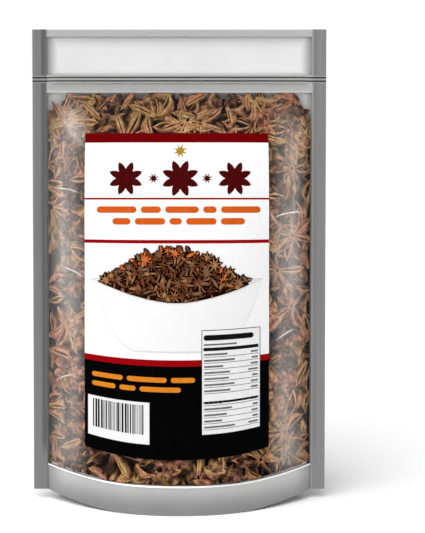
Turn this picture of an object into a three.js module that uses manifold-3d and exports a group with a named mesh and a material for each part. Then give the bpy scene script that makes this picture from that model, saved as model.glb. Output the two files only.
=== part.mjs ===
// A filled stand-up pouch of star anise pods: clear film in front, silver film behind, sealed shut.
// Millimetres, +Z up, front towards -Y. The origin is on the table, under the middle of the pouch.
//
// A point of the film is named by two numbers: x, its place across the pouch, and h, the height it has
// on the centre line. Rows of equal h curve upwards towards the bottom corners.

import * as THREE from 'three';
import { mergeVertices } from 'three/addons/utils/BufferGeometryUtils.js';
import Module from 'manifold-3d';

// ---- Driving dimensions ---------------------------------------------------------------------------

const POUCH_WIDTH = 152;
const POUCH_HEIGHT = 244;
const SIDE_SEAL = 7.5;              // width of the welded strip down each side
const TOP_SEAL = 4;                 // height of the welded strip along the top
const SKIRT_HEIGHT = 15;            // welded strip along the bottom, which the pouch stands on
const FILM = 0.6;                   // half of a welded strip, drawn thicker than real film
const BELLY_FRONT = 32.5;           // how far the filled film stands out from the seals
const BELLY_HEIGHT = 50;            // where it stands out most
const BELLY_TAPER = [2.2, 0.8];     // powers that shape its profile from there up to the zip
const ARCH_POWER = 2.1;             // shape of the belly across: 2 is a parabola, more is flatter
const ARCH_POWER_AT_ZIP = 5.1;
const ARCH_CHANGE_HEIGHT = 110;     // the arch starts to flatten here
const RIM_PULL_IN = 1.2;            // how much less the belly stands out at the table
const CORNER_LIFT = 5;              // how far the two bottom corners hang above the table
const CORNER_START = 0.35;          // share of the half width at which the bottom edge starts to rise
const CORNER_POWER = 1.6;
const LIFT_FADE = 100;              // height at which the rows are level again
const SHOULDER_HEIGHT = 190;        // the film turns in faster from here up, so its rows are closer
const HEADER_PILLOW = 0.9;          // slight swelling between the zip and the top seal

const FILL_TOP = 212.4;             // the film lies flat from here up to the zip
const ZIP_HEIGHT = 218.3;           // middle of the press-to-close zip
const ZIP_BAND = 3.2;
const ZIP_LENGTH = 144;
const ZIP_TRACK = 1.3;              // thickness of each of the two tracks
const SLIVER = 0.02;                // faces thinner than this, left by the cuts, are merged away
const GAP = 0.3;                    // clearance that neighbouring pieces keep

const LABEL_WIDTH = 92.8;
const LABEL_CENTRE_X = -1.3;
const LABEL_BOTTOM = 31.2;
const LABEL_TOP = 189.8;
const LABEL_SAG = 3;                // the lower edge of the label hangs this much lower in the middle
const LABEL_SAG_FADE = 0.6;         // share of the label's height over which that sag dies out
const LABEL_THICKNESS = 0.5;

const GUSSET_CURL = 14;             // width over which the gusset curls down from the skirt
const GUSSET_SAG = 1.5;             // how far the free gusset would hang below the table
const GUSSET_TUCK = 2;              // the hollow under the pouch ends this far from each side seal

// ---- Sizes that follow ----------------------------------------------------------------------------

const HALF_WIDTH = POUCH_WIDTH / 2;
const HALF_WINDOW = HALF_WIDTH - SIDE_SEAL;
const HEADER_BOTTOM = ZIP_HEIGHT + ZIP_BAND / 2;
const HEADER_TOP = POUCH_HEIGHT - TOP_SEAL;
const BELLY_BACK = BELLY_FRONT + GAP + LABEL_THICKNESS;   // keeps the origin in the middle of the depth
const SKIRT = 2 * FILM;

// ---- The film's form ------------------------------------------------------------------------------

const clamp01 = (value) => Math.min(1, Math.max(0, value));

function smoothStep(low, high, value) {
  const t = clamp01((value - low) / (high - low));
  return t * t * (3 - 2 * t);
}

// Depth of the belly on the centre line, as a share of its largest depth.
function bellyShare(h, bellyMax) {
  if (h < BELLY_HEIGHT) {
    return 1 - (RIM_PULL_IN / bellyMax) * (1 - h / BELLY_HEIGHT) ** 2;
  }
  const rise = clamp01((h - BELLY_HEIGHT) / (FILL_TOP - BELLY_HEIGHT));
  return (1 - rise ** BELLY_TAPER[0]) ** BELLY_TAPER[1];
}

// Arched across the belly, and flatter across towards the zip, where only the edges curve.
function acrossShare(x, h) {
  const flattening = smoothStep(ARCH_CHANGE_HEIGHT, FILL_TOP, h);
  const power = ARCH_POWER + (ARCH_POWER_AT_ZIP - ARCH_POWER) * flattening;
  return 1 - clamp01(Math.abs(x) / HALF_WINDOW) ** power;
}

// The header between the zip and the top seal is a very shallow pillow.
function pillow(x, h) {
  const up = (2 * h - HEADER_TOP - HEADER_BOTTOM) / (HEADER_TOP - HEADER_BOTTOM);
  if (Math.abs(up) >= 1) return 0;
  const across = 1 - clamp01(Math.abs(x) / HALF_WINDOW) ** 8;
  return HEADER_PILLOW * across * (1 - up ** 4);
}

function filmDepth(x, h, bellyMax) {
  return FILM + bellyMax * bellyShare(h, bellyMax) * acrossShare(x, h) + pillow(x, h);
}

// How far the pouch's lower edge is above the table at x.
function bottomEdge(x) {
  const out = clamp01(Math.abs(x) / HALF_WINDOW);
  return CORNER_LIFT * clamp01((out - CORNER_START) / (1 - CORNER_START)) ** CORNER_POWER;
}

function filmHeight(x, h) {
  return h + bottomEdge(x) * clamp01(1 - h / LIFT_FADE) ** 2;
}

function frontFilm(x, h, standOff = 0) {
  return [x, -filmDepth(x, h, BELLY_FRONT) - standOff, filmHeight(x, h)];
}

function backFilm(x, h) {
  return [x, filmDepth(x, h, BELLY_BACK), filmHeight(x, h)];
}

// ---- Solids from two matching sheets --------------------------------------------------------------

function evenly(from, to, steps) {
  return Array.from({ length: steps }, (_, i) => from + ((to - from) * i) / steps);
}

// A closed solid between two sheets of points that share the same grid of rows and columns.
function solidBetween(sheetA, sheetB, columns, rows) {
  const points = [];
  const triangles = [];
  for (const sheet of [sheetA, sheetB]) {
    for (const row of rows) for (const column of columns) points.push(...sheet(column, row));
  }
  const wide = columns.length;
  const perSheet = wide * rows.length;
  const at = (side, i, j) => side * perSheet + j * wide + i;
  const quad = (a, b, c, d) => triangles.push(a, b, c, a, c, d);
  for (let j = 0; j + 1 < rows.length; j += 1) {
    for (let i = 0; i + 1 < wide; i += 1) {
      quad(at(0, i, j), at(0, i + 1, j), at(0, i + 1, j + 1), at(0, i, j + 1));
      quad(at(1, i, j), at(1, i, j + 1), at(1, i + 1, j + 1), at(1, i + 1, j));
    }
    quad(at(0, 0, j), at(0, 0, j + 1), at(1, 0, j + 1), at(1, 0, j));
    quad(at(0, wide - 1, j), at(1, wide - 1, j), at(1, wide - 1, j + 1), at(0, wide - 1, j + 1));
  }
  const last = rows.length - 1;
  for (let i = 0; i + 1 < wide; i += 1) {
    quad(at(0, i, 0), at(1, i, 0), at(1, i + 1, 0), at(0, i + 1, 0));
    quad(at(0, i, last), at(0, i + 1, last), at(1, i + 1, last), at(1, i, last));
  }
  const geometry = new THREE.BufferGeometry();
  geometry.setAttribute('position', new THREE.Float32BufferAttribute(points, 3));
  geometry.setIndex(triangles);
  return geometry;
}

// ---- Joining and cutting --------------------------------------------------------------------------

const wasm = await Module();
wasm.setup();

function toManifold(geometry) {
  const bare = geometry.clone();
  bare.deleteAttribute('normal');
  bare.deleteAttribute('uv');
  const merged = mergeVertices(bare, 1e-4);
  return new wasm.Manifold(new wasm.Mesh({
    numProp: 3,
    vertProperties: new Float32Array(merged.attributes.position.array),
    triVerts: new Uint32Array(merged.index.array),
  }));
}

function toGeometry(solid) {
  const { vertProperties, triVerts } = solid.getMesh();
  const geometry = new THREE.BufferGeometry();
  geometry.setAttribute('position', new THREE.Float32BufferAttribute(vertProperties, 3));
  geometry.setIndex(Array.from(triVerts));
  return geometry;
}

function box(width, depth, height, x, y, z) {
  return new THREE.BoxGeometry(width, depth, height).translate(x, y, z);
}

// ---- The pouch ------------------------------------------------------------------------------------

// Columns stand closer together near the side seals, where the film turns most.
function pouchColumns() {
  const crowding = 0.35;
  const inner = evenly(-1, 1, 32).concat(1)
    .map((t) => HALF_WINDOW * (crowding * Math.sin((t * Math.PI) / 2) + (1 - crowding) * t));
  return [-HALF_WIDTH, ...inner, HALF_WIDTH];
}

function pouchRows() {
  return [
    ...evenly(0, BELLY_HEIGHT, 6),
    ...evenly(BELLY_HEIGHT, SHOULDER_HEIGHT, 11),
    ...evenly(SHOULDER_HEIGHT, FILL_TOP, 6),
    ...evenly(FILL_TOP, HEADER_BOTTOM, 1),
    ...evenly(HEADER_BOTTOM, HEADER_TOP, 6),
    HEADER_TOP,
    POUCH_HEIGHT,
  ];
}

// The hollow under the pouch: the gusset hangs from the top of the skirt and sags to the table.
function grooveUnderGusset() {
  const reach = HALF_WINDOW - GUSSET_TUCK;
  const columns = [-reach, ...pouchColumns().filter((x) => Math.abs(x) < reach), reach];
  const sides = evenly(-1, 1, 20).concat(1).map((s) => Math.sin((s * Math.PI) / 2));
  const narrowest = 0.2;
  const below = -GUSSET_SAG - 1;
  const skirtInside = (x, side) => (
    Math.max(filmDepth(x, 0, side < 0 ? BELLY_FRONT : BELLY_BACK) - SKIRT, narrowest)
  );
  const under = (x, s) => [x, s * skirtInside(x, s), below];
  const gusset = (x, s) => {
    const fromSkirt = skirtInside(x, s) * (1 - Math.abs(s));
    const hang = clamp01(1 - fromSkirt / GUSSET_CURL) ** 2;
    return [x, s * skirtInside(x, s), bottomEdge(x) + (SKIRT_HEIGHT + GUSSET_SAG) * hang - GUSSET_SAG];
  };
  return solidBetween(gusset, under, columns, sides);
}

function pouchGeometry() {
  const filled = toManifold(solidBetween((x, h) => frontFilm(x, h), backFilm, pouchColumns(), pouchRows()));
  const slotDepth = 8 * FILM;
  const zipSlot = toManifold(
    box(ZIP_LENGTH + 2 * GAP, slotDepth, ZIP_BAND + 2 * GAP, 0, 0, ZIP_HEIGHT),
  );
  const cut = filled.subtract(toManifold(grooveUnderGusset())).subtract(zipSlot);
  return toGeometry(cut.simplify(SLIVER));
}

// ---- The zip: two tracks that press into each other -------------------------------------------------

function zipTrackGeometry(side) {
  return box(ZIP_LENGTH, ZIP_TRACK, ZIP_BAND, 0, side * (ZIP_TRACK + GAP) / 2, ZIP_HEIGHT);
}

// ---- The label on the front -------------------------------------------------------------------------

// a runs from -1 to 1 across the label, and b from 0 to 1 up it.
function labelPoint(a, b, standOff) {
  const sag = LABEL_SAG * clamp01(1 - b / LABEL_SAG_FADE) * (1 - a * a);
  const x = LABEL_CENTRE_X + (a * LABEL_WIDTH) / 2;
  return frontFilm(x, LABEL_BOTTOM + (LABEL_TOP - LABEL_BOTTOM) * b - sag, standOff);
}

function labelGeometry() {
  const columns = evenly(-1, 1, 14).concat(1);
  const rows = evenly(0, 1, 18).concat(1);
  const outside = (a, b) => labelPoint(a, b, GAP + LABEL_THICKNESS);
  const inside = (a, b) => labelPoint(a, b, GAP);
  return solidBetween(outside, inside, columns, rows);
}

// ---- The object -------------------------------------------------------------------------------------

const finishes = {
  pouch: { color: 0x9a9a9a, roughness: 0.35, metalness: 0.3 },
  zip: { color: 0xc4c4c4, roughness: 0.3, metalness: 0 },
  label: { color: 0xf6f4f2, roughness: 0.25, metalness: 0 },
};

function piece(name, geometry, finish) {
  const mesh = new THREE.Mesh(geometry, new THREE.MeshStandardMaterial(finishes[finish]));
  mesh.name = name;
  return mesh;
}

const starAnisePouch = new THREE.Group();
starAnisePouch.add(
  piece('pouch', pouchGeometry(), 'pouch'),
  piece('zip_track_front', zipTrackGeometry(-1), 'zip'),
  piece('zip_track_back', zipTrackGeometry(1), 'zip'),
  piece('label', labelGeometry(), 'label'),
);

export default starAnisePouch;
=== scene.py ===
# %% [markdown]
# # A stand-up pouch of star anise
# This lesson dresses a sealed stand-up pouch: a clear film in front, a silver film behind, a zip, a printed
# label, and the dried star anise pods that fill it. The solid model of the pouch is loaded first as a fixed
# frame. Everything made here is measured from that frame, in metres, so nothing has to be fitted afterwards.
# %% Load the frame
import math
import bpy
import numpy as np
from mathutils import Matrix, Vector


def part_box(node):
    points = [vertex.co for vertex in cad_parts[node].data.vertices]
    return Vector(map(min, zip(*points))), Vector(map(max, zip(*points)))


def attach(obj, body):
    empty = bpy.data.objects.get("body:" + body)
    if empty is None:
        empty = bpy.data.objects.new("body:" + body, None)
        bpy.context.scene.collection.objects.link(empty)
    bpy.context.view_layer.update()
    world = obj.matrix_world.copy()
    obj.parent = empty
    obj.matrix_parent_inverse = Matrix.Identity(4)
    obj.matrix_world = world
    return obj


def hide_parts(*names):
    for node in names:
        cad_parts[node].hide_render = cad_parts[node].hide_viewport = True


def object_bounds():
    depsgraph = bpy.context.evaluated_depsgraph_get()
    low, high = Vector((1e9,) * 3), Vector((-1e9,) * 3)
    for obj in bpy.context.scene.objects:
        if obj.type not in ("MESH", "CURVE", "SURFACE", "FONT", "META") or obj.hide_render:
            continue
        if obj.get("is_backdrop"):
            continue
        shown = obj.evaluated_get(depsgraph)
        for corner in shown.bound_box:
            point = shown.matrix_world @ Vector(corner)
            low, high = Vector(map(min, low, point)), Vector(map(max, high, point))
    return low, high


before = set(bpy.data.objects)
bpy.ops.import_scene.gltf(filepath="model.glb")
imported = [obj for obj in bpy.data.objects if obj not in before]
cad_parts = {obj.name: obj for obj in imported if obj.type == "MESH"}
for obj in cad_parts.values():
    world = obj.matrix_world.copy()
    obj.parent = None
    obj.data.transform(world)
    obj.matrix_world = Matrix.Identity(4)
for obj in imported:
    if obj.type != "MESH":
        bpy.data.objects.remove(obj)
cad_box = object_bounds()
MM = 0.001
pouch_low, pouch_high = (np.array(corner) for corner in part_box("pouch"))
print("pouch solid, mm:", np.round((pouch_high - pouch_low) / MM, 1))

# %% [markdown]
# ## The camera
# A pack is usually shown from straight in front, with the camera about two thirds of the way up, which
# keeps the side seals upright. The lens is long, so the pack's sides stay nearly parallel. Sliding the
# picture with the lens shift, instead of turning the camera, keeps the seals upright when the pack stands off
# centre.
# %% The camera
IMAGE_HEIGHT = 533
FOCAL_PIXELS = 1039.4       # the lens, measured in pixels of a picture that is IMAGE_HEIGHT tall
SENSOR_WIDTH = 36
CAMERA_DISTANCE = 0.54
CAMERA_HEIGHT = 0.1554
CAMERA_TILT = 0.03          # radians below the horizon
SHIFT_ACROSS = 0.0623       # shares of the picture's longer side
SHIFT_UP = -0.0641

camera_data = bpy.data.cameras.new("camera")
camera_data.sensor_width = SENSOR_WIDTH
camera_data.lens = FOCAL_PIXELS / IMAGE_HEIGHT * SENSOR_WIDTH
camera_data.shift_x = SHIFT_ACROSS
camera_data.shift_y = SHIFT_UP
camera = bpy.data.objects.new("camera", camera_data)
camera.location = (0, -CAMERA_DISTANCE, CAMERA_HEIGHT)
camera.rotation_euler = (math.pi / 2 - CAMERA_TILT, 0, 0)
bpy.context.collection.objects.link(camera)
bpy.context.scene.camera = camera
print("lens, mm:", round(camera_data.lens, 1))

# %% [markdown]
# ## The form of the filled film
# A filled pouch is flat along its seals and swells between them. Sculpting that by hand is slow and uneven. A
# formula is better here, because the film, the pods behind it and the label on it all have to follow the same
# surface. A point of a film is named by x, its place across, and h, its height on the centre line, and the
# two films by the way they face, FRONT or BACK.
# %% The form of the filled film
HALF_WIDTH = (pouch_high[0] - pouch_low[0]) / 2
POUCH_HEIGHT = pouch_high[2]
SIDE_SEAL = 7.5 * MM
TOP_SEAL = 4 * MM
SKIRT_HEIGHT = 15 * MM
FILM = 0.6 * MM              # how far each film stands from the middle plane at the seals
FRONT, BACK = -1, 1
BELLY = {FRONT: 32.5 * MM, BACK: 33.3 * MM}
BELLY_HEIGHT = 50 * MM
BELLY_TAPER = 2.2            # the higher, the later the pouch narrows above its belly
TAPER_ROUNDING = 0.8
RIM_PULL_IN = 1.2 * MM       # how much less deep the pouch is at the table
BOW = 2.1                    # the power of the curve across the belly, near a parabola
BOW_GAIN = 3                 # how much flatter it gets towards the zip
FLATTER_FROM = 110 * MM
CORNER_LIFT = 5 * MM         # how far the lower corners hang above the table
CORNER_START = 0.35          # share of the half width at which the lower edge starts to rise
LIFT_FADE = 100 * MM
HEADER_PILLOW = 0.9 * MM
FILL_TOP = 212.4 * MM
ZIP_HEIGHT = 218.3 * MM
ZIP_BAND = 3.2 * MM
ZIP_DEPTH = 1.4 * MM
ZIP_CRUSH = 5 * MM           # how far from the side seals the zip starts to be pressed flat
HALF_WINDOW = HALF_WIDTH - SIDE_SEAL
HEADER_BOTTOM = ZIP_HEIGHT + ZIP_BAND / 2
HEADER_TOP = POUCH_HEIGHT - TOP_SEAL


def smooth_step(low, high, value):
    t = np.clip((value - low) / (high - low), 0, 1)
    return t * t * (3 - 2 * t)


def belly_share(h, belly):
    low = 1 - (RIM_PULL_IN / belly) * (1 - np.minimum(h, BELLY_HEIGHT) / BELLY_HEIGHT) ** 2
    rise = np.clip((h - BELLY_HEIGHT) / (FILL_TOP - BELLY_HEIGHT), 0, 1)
    return np.where(h < BELLY_HEIGHT, low, (1 - rise**BELLY_TAPER) ** TAPER_ROUNDING)


def film_depth(x, h, side):
    """How far the film is from the middle plane."""
    across = np.clip(np.abs(x) / HALF_WINDOW, 0, 1)
    power = BOW + BOW_GAIN * smooth_step(FLATTER_FROM, FILL_TOP, h)
    up = np.clip((2 * h - HEADER_TOP - HEADER_BOTTOM) / (HEADER_TOP - HEADER_BOTTOM), -1, 1)
    pillow = HEADER_PILLOW * (1 - across**8) * (1 - up**4)
    return FILM + BELLY[side] * belly_share(h, BELLY[side]) * (1 - across**power) + pillow


def bottom_edge(x):
    out = np.clip(np.abs(x) / HALF_WINDOW, 0, 1)
    return CORNER_LIFT * np.clip((out - CORNER_START) / (1 - CORNER_START), 0, 1) ** 1.6


def film_height(x, h):
    return h + bottom_edge(x) * np.clip(1 - h / LIFT_FADE, 0, 1) ** 2


def film(x, h, side, stand_off=0.0):
    """Points of one film, or of a layer that stands off it."""
    y = side * (film_depth(x, h, side) + stand_off)
    return np.stack(np.broadcast_arrays(x, y, film_height(x, h)), -1)


def zip_body(x, z, margin=0.0):
    """1 over the zip's ribs, 0 above and below them, and falling to 0 where the side seals crush them."""
    up = smooth_step(2.2 * MM + margin, 1.7 * MM + margin, np.abs(z - ZIP_HEIGHT))
    return up * smooth_step(0, ZIP_CRUSH, HALF_WINDOW - np.abs(x))


depths = [film_depth(0, BELLY_HEIGHT, side) / MM for side in (FRONT, BACK)]
print("belly, front and back, mm:", np.round(depths, 1))

# %% [markdown]
# ## Making meshes from grids
# Every film, seal and print here is a thin closed sheet, so one helper can make them all: it takes two grids
# of points, the outside and the inside, and joins their rims. Closed sheets cast proper shadows and export as
# solid pieces, which a single surface would not.
# %% Mesh helpers
SHARP = 50                   # degrees between two faces, from which their edge is drawn sharp


def mesh_piece(name, points, faces, face_looks, materials, sharp=SHARP, point_colours=None):
    """faces holds arrays with a row of point numbers for each face; face_looks numbers their materials."""
    mesh = bpy.data.meshes.new(name)
    sides = np.concatenate([np.full(len(part), part.shape[1]) for part in faces])
    mesh.vertices.add(len(points))
    mesh.vertices.foreach_set("co", np.asarray(points, np.float32).ravel())
    mesh.loops.add(int(sides.sum()))
    mesh.loops.foreach_set("vertex_index", np.concatenate([part.ravel() for part in faces]).astype(np.int32))
    mesh.polygons.add(len(sides))
    mesh.polygons.foreach_set("loop_start", np.concatenate([[0], np.cumsum(sides)[:-1]]).astype(np.int32))
    mesh.update(calc_edges=True)
    for material in materials:
        mesh.materials.append(material)
    mesh.polygons.foreach_set("material_index", np.asarray(face_looks, np.int32))
    mesh.polygons.foreach_set("use_smooth", np.ones(len(sides), bool))
    mesh.set_sharp_from_angle(angle=math.radians(sharp))
    for label, colours in (point_colours or {}).items():
        layer = mesh.attributes.new(label, "FLOAT_COLOR", "POINT")
        layer.data.foreach_set("color", np.asarray(colours, np.float32).ravel())
    mesh.validate()
    piece = bpy.data.objects.new(name, mesh)
    bpy.context.collection.objects.link(piece)
    return piece


def sheet_faces(rows, columns):
    """Faces of a closed sheet: the outside grid comes first, then the inside grid."""
    out, back = np.arange(2 * rows * columns).reshape(2, rows, columns)
    quads = [
        (out[:-1, :-1], out[:-1, 1:], out[1:, 1:], out[1:, :-1]),
        (back[:-1, :-1], back[1:, :-1], back[1:, 1:], back[:-1, 1:]),
        (out[:-1, 0], out[1:, 0], back[1:, 0], back[:-1, 0]),
        (out[:-1, -1], back[:-1, -1], back[1:, -1], out[1:, -1]),
        (out[0, :-1], back[0, :-1], back[0, 1:], out[0, 1:]),
        (out[-1, :-1], out[-1, 1:], back[-1, 1:], back[-1, :-1]),
    ]
    return np.concatenate([np.stack([corner.ravel() for corner in quad], 1) for quad in quads])


def closed_sheet(name, outside, inside, *materials, row_looks=(), elsewhere=0):
    """row_looks numbers the material of each row of outside faces, and elsewhere that of all other faces."""
    rows, columns, _ = outside.shape
    points = np.concatenate([outside.reshape(-1, 3), inside.reshape(-1, 3)])
    faces = sheet_faces(rows, columns)
    looks = np.full(len(faces), elsewhere)
    looks[:len(row_looks) * (columns - 1)] = np.repeat(row_looks, columns - 1)
    return mesh_piece(name, points, [faces], looks, materials)


def place(piece, slot, *replaced):
    """Hands a finished piece to the frame, with the solid that it stands for."""
    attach(piece, "root")
    if replaced:
        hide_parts(*replaced)
    print(piece.name, "faces:", len(piece.data.polygons))


print("a sheet of 2 by 2 points has", len(sheet_faces(2, 2)), "faces")

# %% [markdown]
# ## Small helpers for materials
# Each finish below is a few nodes that feed one Principled shader: a noise for the colour and another for the
# bump. A helper that adds and joins nodes keeps each finish short enough to be read at a glance.
# %% Material helpers
class Finish:
    """A new material with its Principled shader, and short calls to add nodes."""

    def __init__(self, name, roughness, **sockets):
        self.material = bpy.data.materials.new(name)
        self.material.use_nodes = True
        self.nodes = self.material.node_tree.nodes
        self.links = self.material.node_tree.links
        self.shader = self.nodes["Principled BSDF"]
        self.shader.inputs["Roughness"].default_value = roughness
        for socket, value in sockets.items():
            self.shader.inputs[socket.replace("_", " ")].default_value = value

    def join(self, value, socket):
        """Wires an output to the socket, or sets the socket to a plain value."""
        if isinstance(value, bpy.types.NodeSocket):
            self.links.new(value, socket)
        else:
            socket.default_value = (*value, 1) if socket.type == "RGBA" else value

    def add(self, kind, inputs=None, **settings):
        node = self.nodes.new("ShaderNode" + kind)
        for key, value in settings.items():
            setattr(node, key, value)
        for key, value in (inputs or {}).items():
            self.join(value, node.inputs[key])
        return node

    def maths(self, operation, *values, clamp=False):
        return self.add("Math", dict(enumerate(values)), operation=operation, use_clamp=clamp).outputs[0]

    def axis(self, letter):
        """A point's place along one axis of the piece, in metres."""
        return self.add("SeparateXYZ", {"Vector": self.add("TexCoord").outputs["Object"]}).outputs[letter]

    def off(self, letter, middle=0.0):
        """How far a point lies from the middle, along one axis."""
        return self.maths("ABSOLUTE", self.maths("SUBTRACT", self.axis(letter), middle))

    def span(self, value, low, high, to_low=0.0, to_high=1.0):
        """A smooth step from one value at low to another at high."""
        inputs = {"Value": value, "From Min": low, "From Max": high, "To Min": to_low, "To Max": to_high}
        return self.add("MapRange", inputs, interpolation_type="SMOOTHSTEP").outputs["Result"]

    def fade(self, value, low, high):
        return self.span(value, low, high, 1.0, 0.0)

    def noise(self, scale, detail=3.0, stretch=(1, 1, 1), roughness=0.5):
        where = self.add("Mapping", {"Vector": self.add("TexCoord").outputs["Object"], "Scale": stretch})
        inputs = {"Vector": where.outputs["Vector"], "Scale": scale, "Detail": detail, "Roughness": roughness}
        return self.add("TexNoise", inputs).outputs["Fac"]

    def ramp(self, value, *stops):
        node = self.add("ValToRGB", {"Fac": value})
        while len(node.color_ramp.elements) < len(stops):
            node.color_ramp.elements.new(0.5)
        for element, (position, colour) in zip(node.color_ramp.elements, stops):
            element.position = position
            element.color = (*colour, 1)
        return node.outputs["Color"]

    def mix(self, share, one, other, blend="MIX"):
        """Blends two colours; a colour Mix node has its sockets at 0, 6 and 7 and its result at 2."""
        inputs = {0: share, 6: one, 7: other}
        return self.add("Mix", inputs, data_type="RGBA", blend_type=blend).outputs[2]

    def colour(self, value):
        self.join(value, self.shader.inputs["Base Color"])

    def bump(self, height, distance, strength):
        node = self.add("Bump", {"Height": height, "Distance": distance, "Strength": strength})
        self.join(node.outputs["Normal"], self.shader.inputs["Normal"])


def grey(value):
    return (value, value, value)


print("finish helper ready")

# %% [markdown]
# ## The clear film's finish
# The pouch is a laminate. In front it is clear, but clear film is not glass: light goes straight through a
# layer this thin, so it is a mix of a transparent and a glossy shader, with more gloss at a slant. Layer
# Weight gives the slant alike from both sides of the sheet, where Fresnel would turn its inner face into a
# mirror. Down each side a band of extra gloss is painted where the side softboxes' soft reflections fall, so
# the film turns milky white there and also reflects the real lamps. A few thin lines of painted glint stand
# for creases catching the light.
# %% Clear film
GLOSS_FACING = 0.002         # shares of light that each face scatters: seen straight on, and more at a slant
GLOSS_SLANTED = 0.35
# Painted reflection: bands of extra gloss and milky white down each side, where the side softboxes reflect;
# the gloss there also reflects the real lamps.
PAINTED_HAZE_BANDS = (              # middle, how far the band reaches, and the share of light scattered there
    (-57 * MM, 14 * MM, 0.106),
    (55.5 * MM, 12 * MM, 0.113),
)
# Painted glints: thin lines of extra gloss that stand for creases catching the light.
CREASE_GLINTS = (                  # middle across and up, half length, and slope
    (-57 * MM, 161.5 * MM, 8 * MM, -0.2),
    (-54 * MM, 120 * MM, 7 * MM, -0.4),
    (56 * MM, 149.5 * MM, 10 * MM, 0.15),
    (54 * MM, 88 * MM, 6 * MM, 0.5),
    (-58 * MM, 66 * MM, 5 * MM, 0.35),
)
CREASE_GLINT_GLOSS = 0.55
CREASE_ARCH = -18.0          # per metre: how strongly a crease bends down to both ends


def painted_crease_glint(film, middle_x, middle_z, reach, slope):
    """A painted glint: a thin white line of extra gloss on the film, slightly arched and fading at both ends,
    where a crease would catch the light.
    """
    across = film.maths("SUBTRACT", film.axis("X"), middle_x)
    arch = film.maths("MULTIPLY", film.maths("MULTIPLY", across, across), CREASE_ARCH)
    height = film.maths("ADD", film.maths("MULTIPLY_ADD", across, slope, middle_z), arch)
    line = film.fade(film.off("Z", height), 0.05 * MM, 0.45 * MM)
    ends = film.span(film.maths("ABSOLUTE", across), 0.2 * reach, reach, CREASE_GLINT_GLOSS, 0.0)
    return film.maths("MULTIPLY", line, ends)


def clear_film_finish():
    film = Finish("clear_film", 0.2, Metallic=0.5)
    film.colour((0.96, 0.91, 0.87))
    film.bump(film.noise(38, 2.0, stretch=(1, 1, 0.35)), 1.6 * MM, 0.35)
    slant = film.add("LayerWeight", {"Blend": 0.5}).outputs["Facing"]
    gloss = film.maths("MULTIPLY_ADD", film.maths("POWER", slant, 4.0), GLOSS_SLANTED, GLOSS_FACING)
    above_skirt = film.span(film.axis("Z"), SKIRT_HEIGHT - 2 * MM, SKIRT_HEIGHT + 12 * MM)
    below_zip = film.span(film.axis("Z"), FILL_TOP - 24 * MM, FILL_TOP - 4 * MM, 1.0, 0.1)
    ends = film.maths("MULTIPLY", above_skirt, below_zip)
    streaks = film.span(film.noise(60, stretch=(1, 1, 0.25)), 0.3, 0.65, 0.55, 1.25)
    # painted reflection bands down both sides
    for middle, reach, haze_share in PAINTED_HAZE_BANDS:
        band = film.maths("MULTIPLY", film.span(film.off("X", middle), 1 * MM, reach, haze_share, 0.0), ends)
        gloss = film.maths("MULTIPLY_ADD", band, streaks, gloss)
    for line in CREASE_GLINTS:
        gloss = film.maths("ADD", gloss, painted_crease_glint(film, *line), clamp=True)
    clear = film.add("BsdfTransparent", {"Color": grey(0.98)})
    mixed = film.add("MixShader", {0: gloss, 1: clear.outputs[0], 2: film.shader.outputs[0]})
    film.join(mixed.outputs[0], film.nodes["Material Output"].inputs["Surface"])
    return film.material


clear_film = clear_film_finish()
print("finish:", clear_film.name, "with", len(clear_film.node_tree.nodes), "nodes")

# %% [markdown]
# ## The silver film's finishes
# The back film is aluminised, so outside it looks silver. Its inside, which shows through the clear header,
# is paler and hardly glossy, and gets painted shade where it nears the welds round the header, at the edges
# of its pillow. A mirror with the right surroundings would do this too, but two tones and a painted shade
# near the welds are easier to steer.
# %% Silver film
def silver_film_finish(name, brightness, roughness, metallic, weld_shade=1.0):
    """Silver, with painted shade that makes it weld_shade times as bright where it nears the welds round the
    header.
    """
    film = Finish(name, roughness, Metallic=metallic)
    shade = film.ramp(film.noise(26, 4.0), (0.3, grey(brightness * 0.92)), (0.7, grey(brightness)))
    side = film.span(film.off("X"), HALF_WINDOW - 6.5 * MM, HALF_WINDOW)
    up = film.span(film.axis("Z"), HEADER_TOP - 6 * MM, HEADER_TOP + 1 * MM, 0.0, 0.4)
    down = film.span(film.axis("Z"), HEADER_BOTTOM, HEADER_BOTTOM + 3.5 * MM, 0.55, 0.0)
    near_weld_shade = film.maths("MAXIMUM", side, film.maths("MAXIMUM", up, down))
    film.colour(film.mix(near_weld_shade, shade, grey(brightness * weld_shade)))
    film.bump(film.noise(60, 5.0, roughness=0.6), 0.5 * MM, 0.4)
    return film.material


silver_film = silver_film_finish("silver_film", 0.62, 0.32, 0.35)
silver_inside = silver_film_finish("silver_inside", 0.74, 0.6, 0.0, 0.4)
print("finishes:", silver_film.name, silver_inside.name)

# %% [markdown]
# ## The silver back film
# The back of the pouch is one aluminised film from the top edge down to the skirt. It is drawn in by the
# seals and pushed out by the pods, which show through it as soft bumps. A real film is 0.1 mm thick. It is
# made as a thin closed sheet on the formula's surface, with the bumps added from a few seeded waves.
# %% The back film
FILM_SHEET = 0.15 * MM
SEAL_OVERLAP = 0.6 * MM
DENT = {FRONT: 0.5 * MM, BACK: 1.3 * MM}
WAVES = 14
wave_draw = np.random.default_rng(5)
wave_way = wave_draw.uniform(0, 2 * math.pi, WAVES)
wave_length = wave_draw.uniform(16 * MM, 34 * MM, WAVES)
wave_phase = wave_draw.uniform(0, 2 * math.pi, WAVES)


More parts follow.
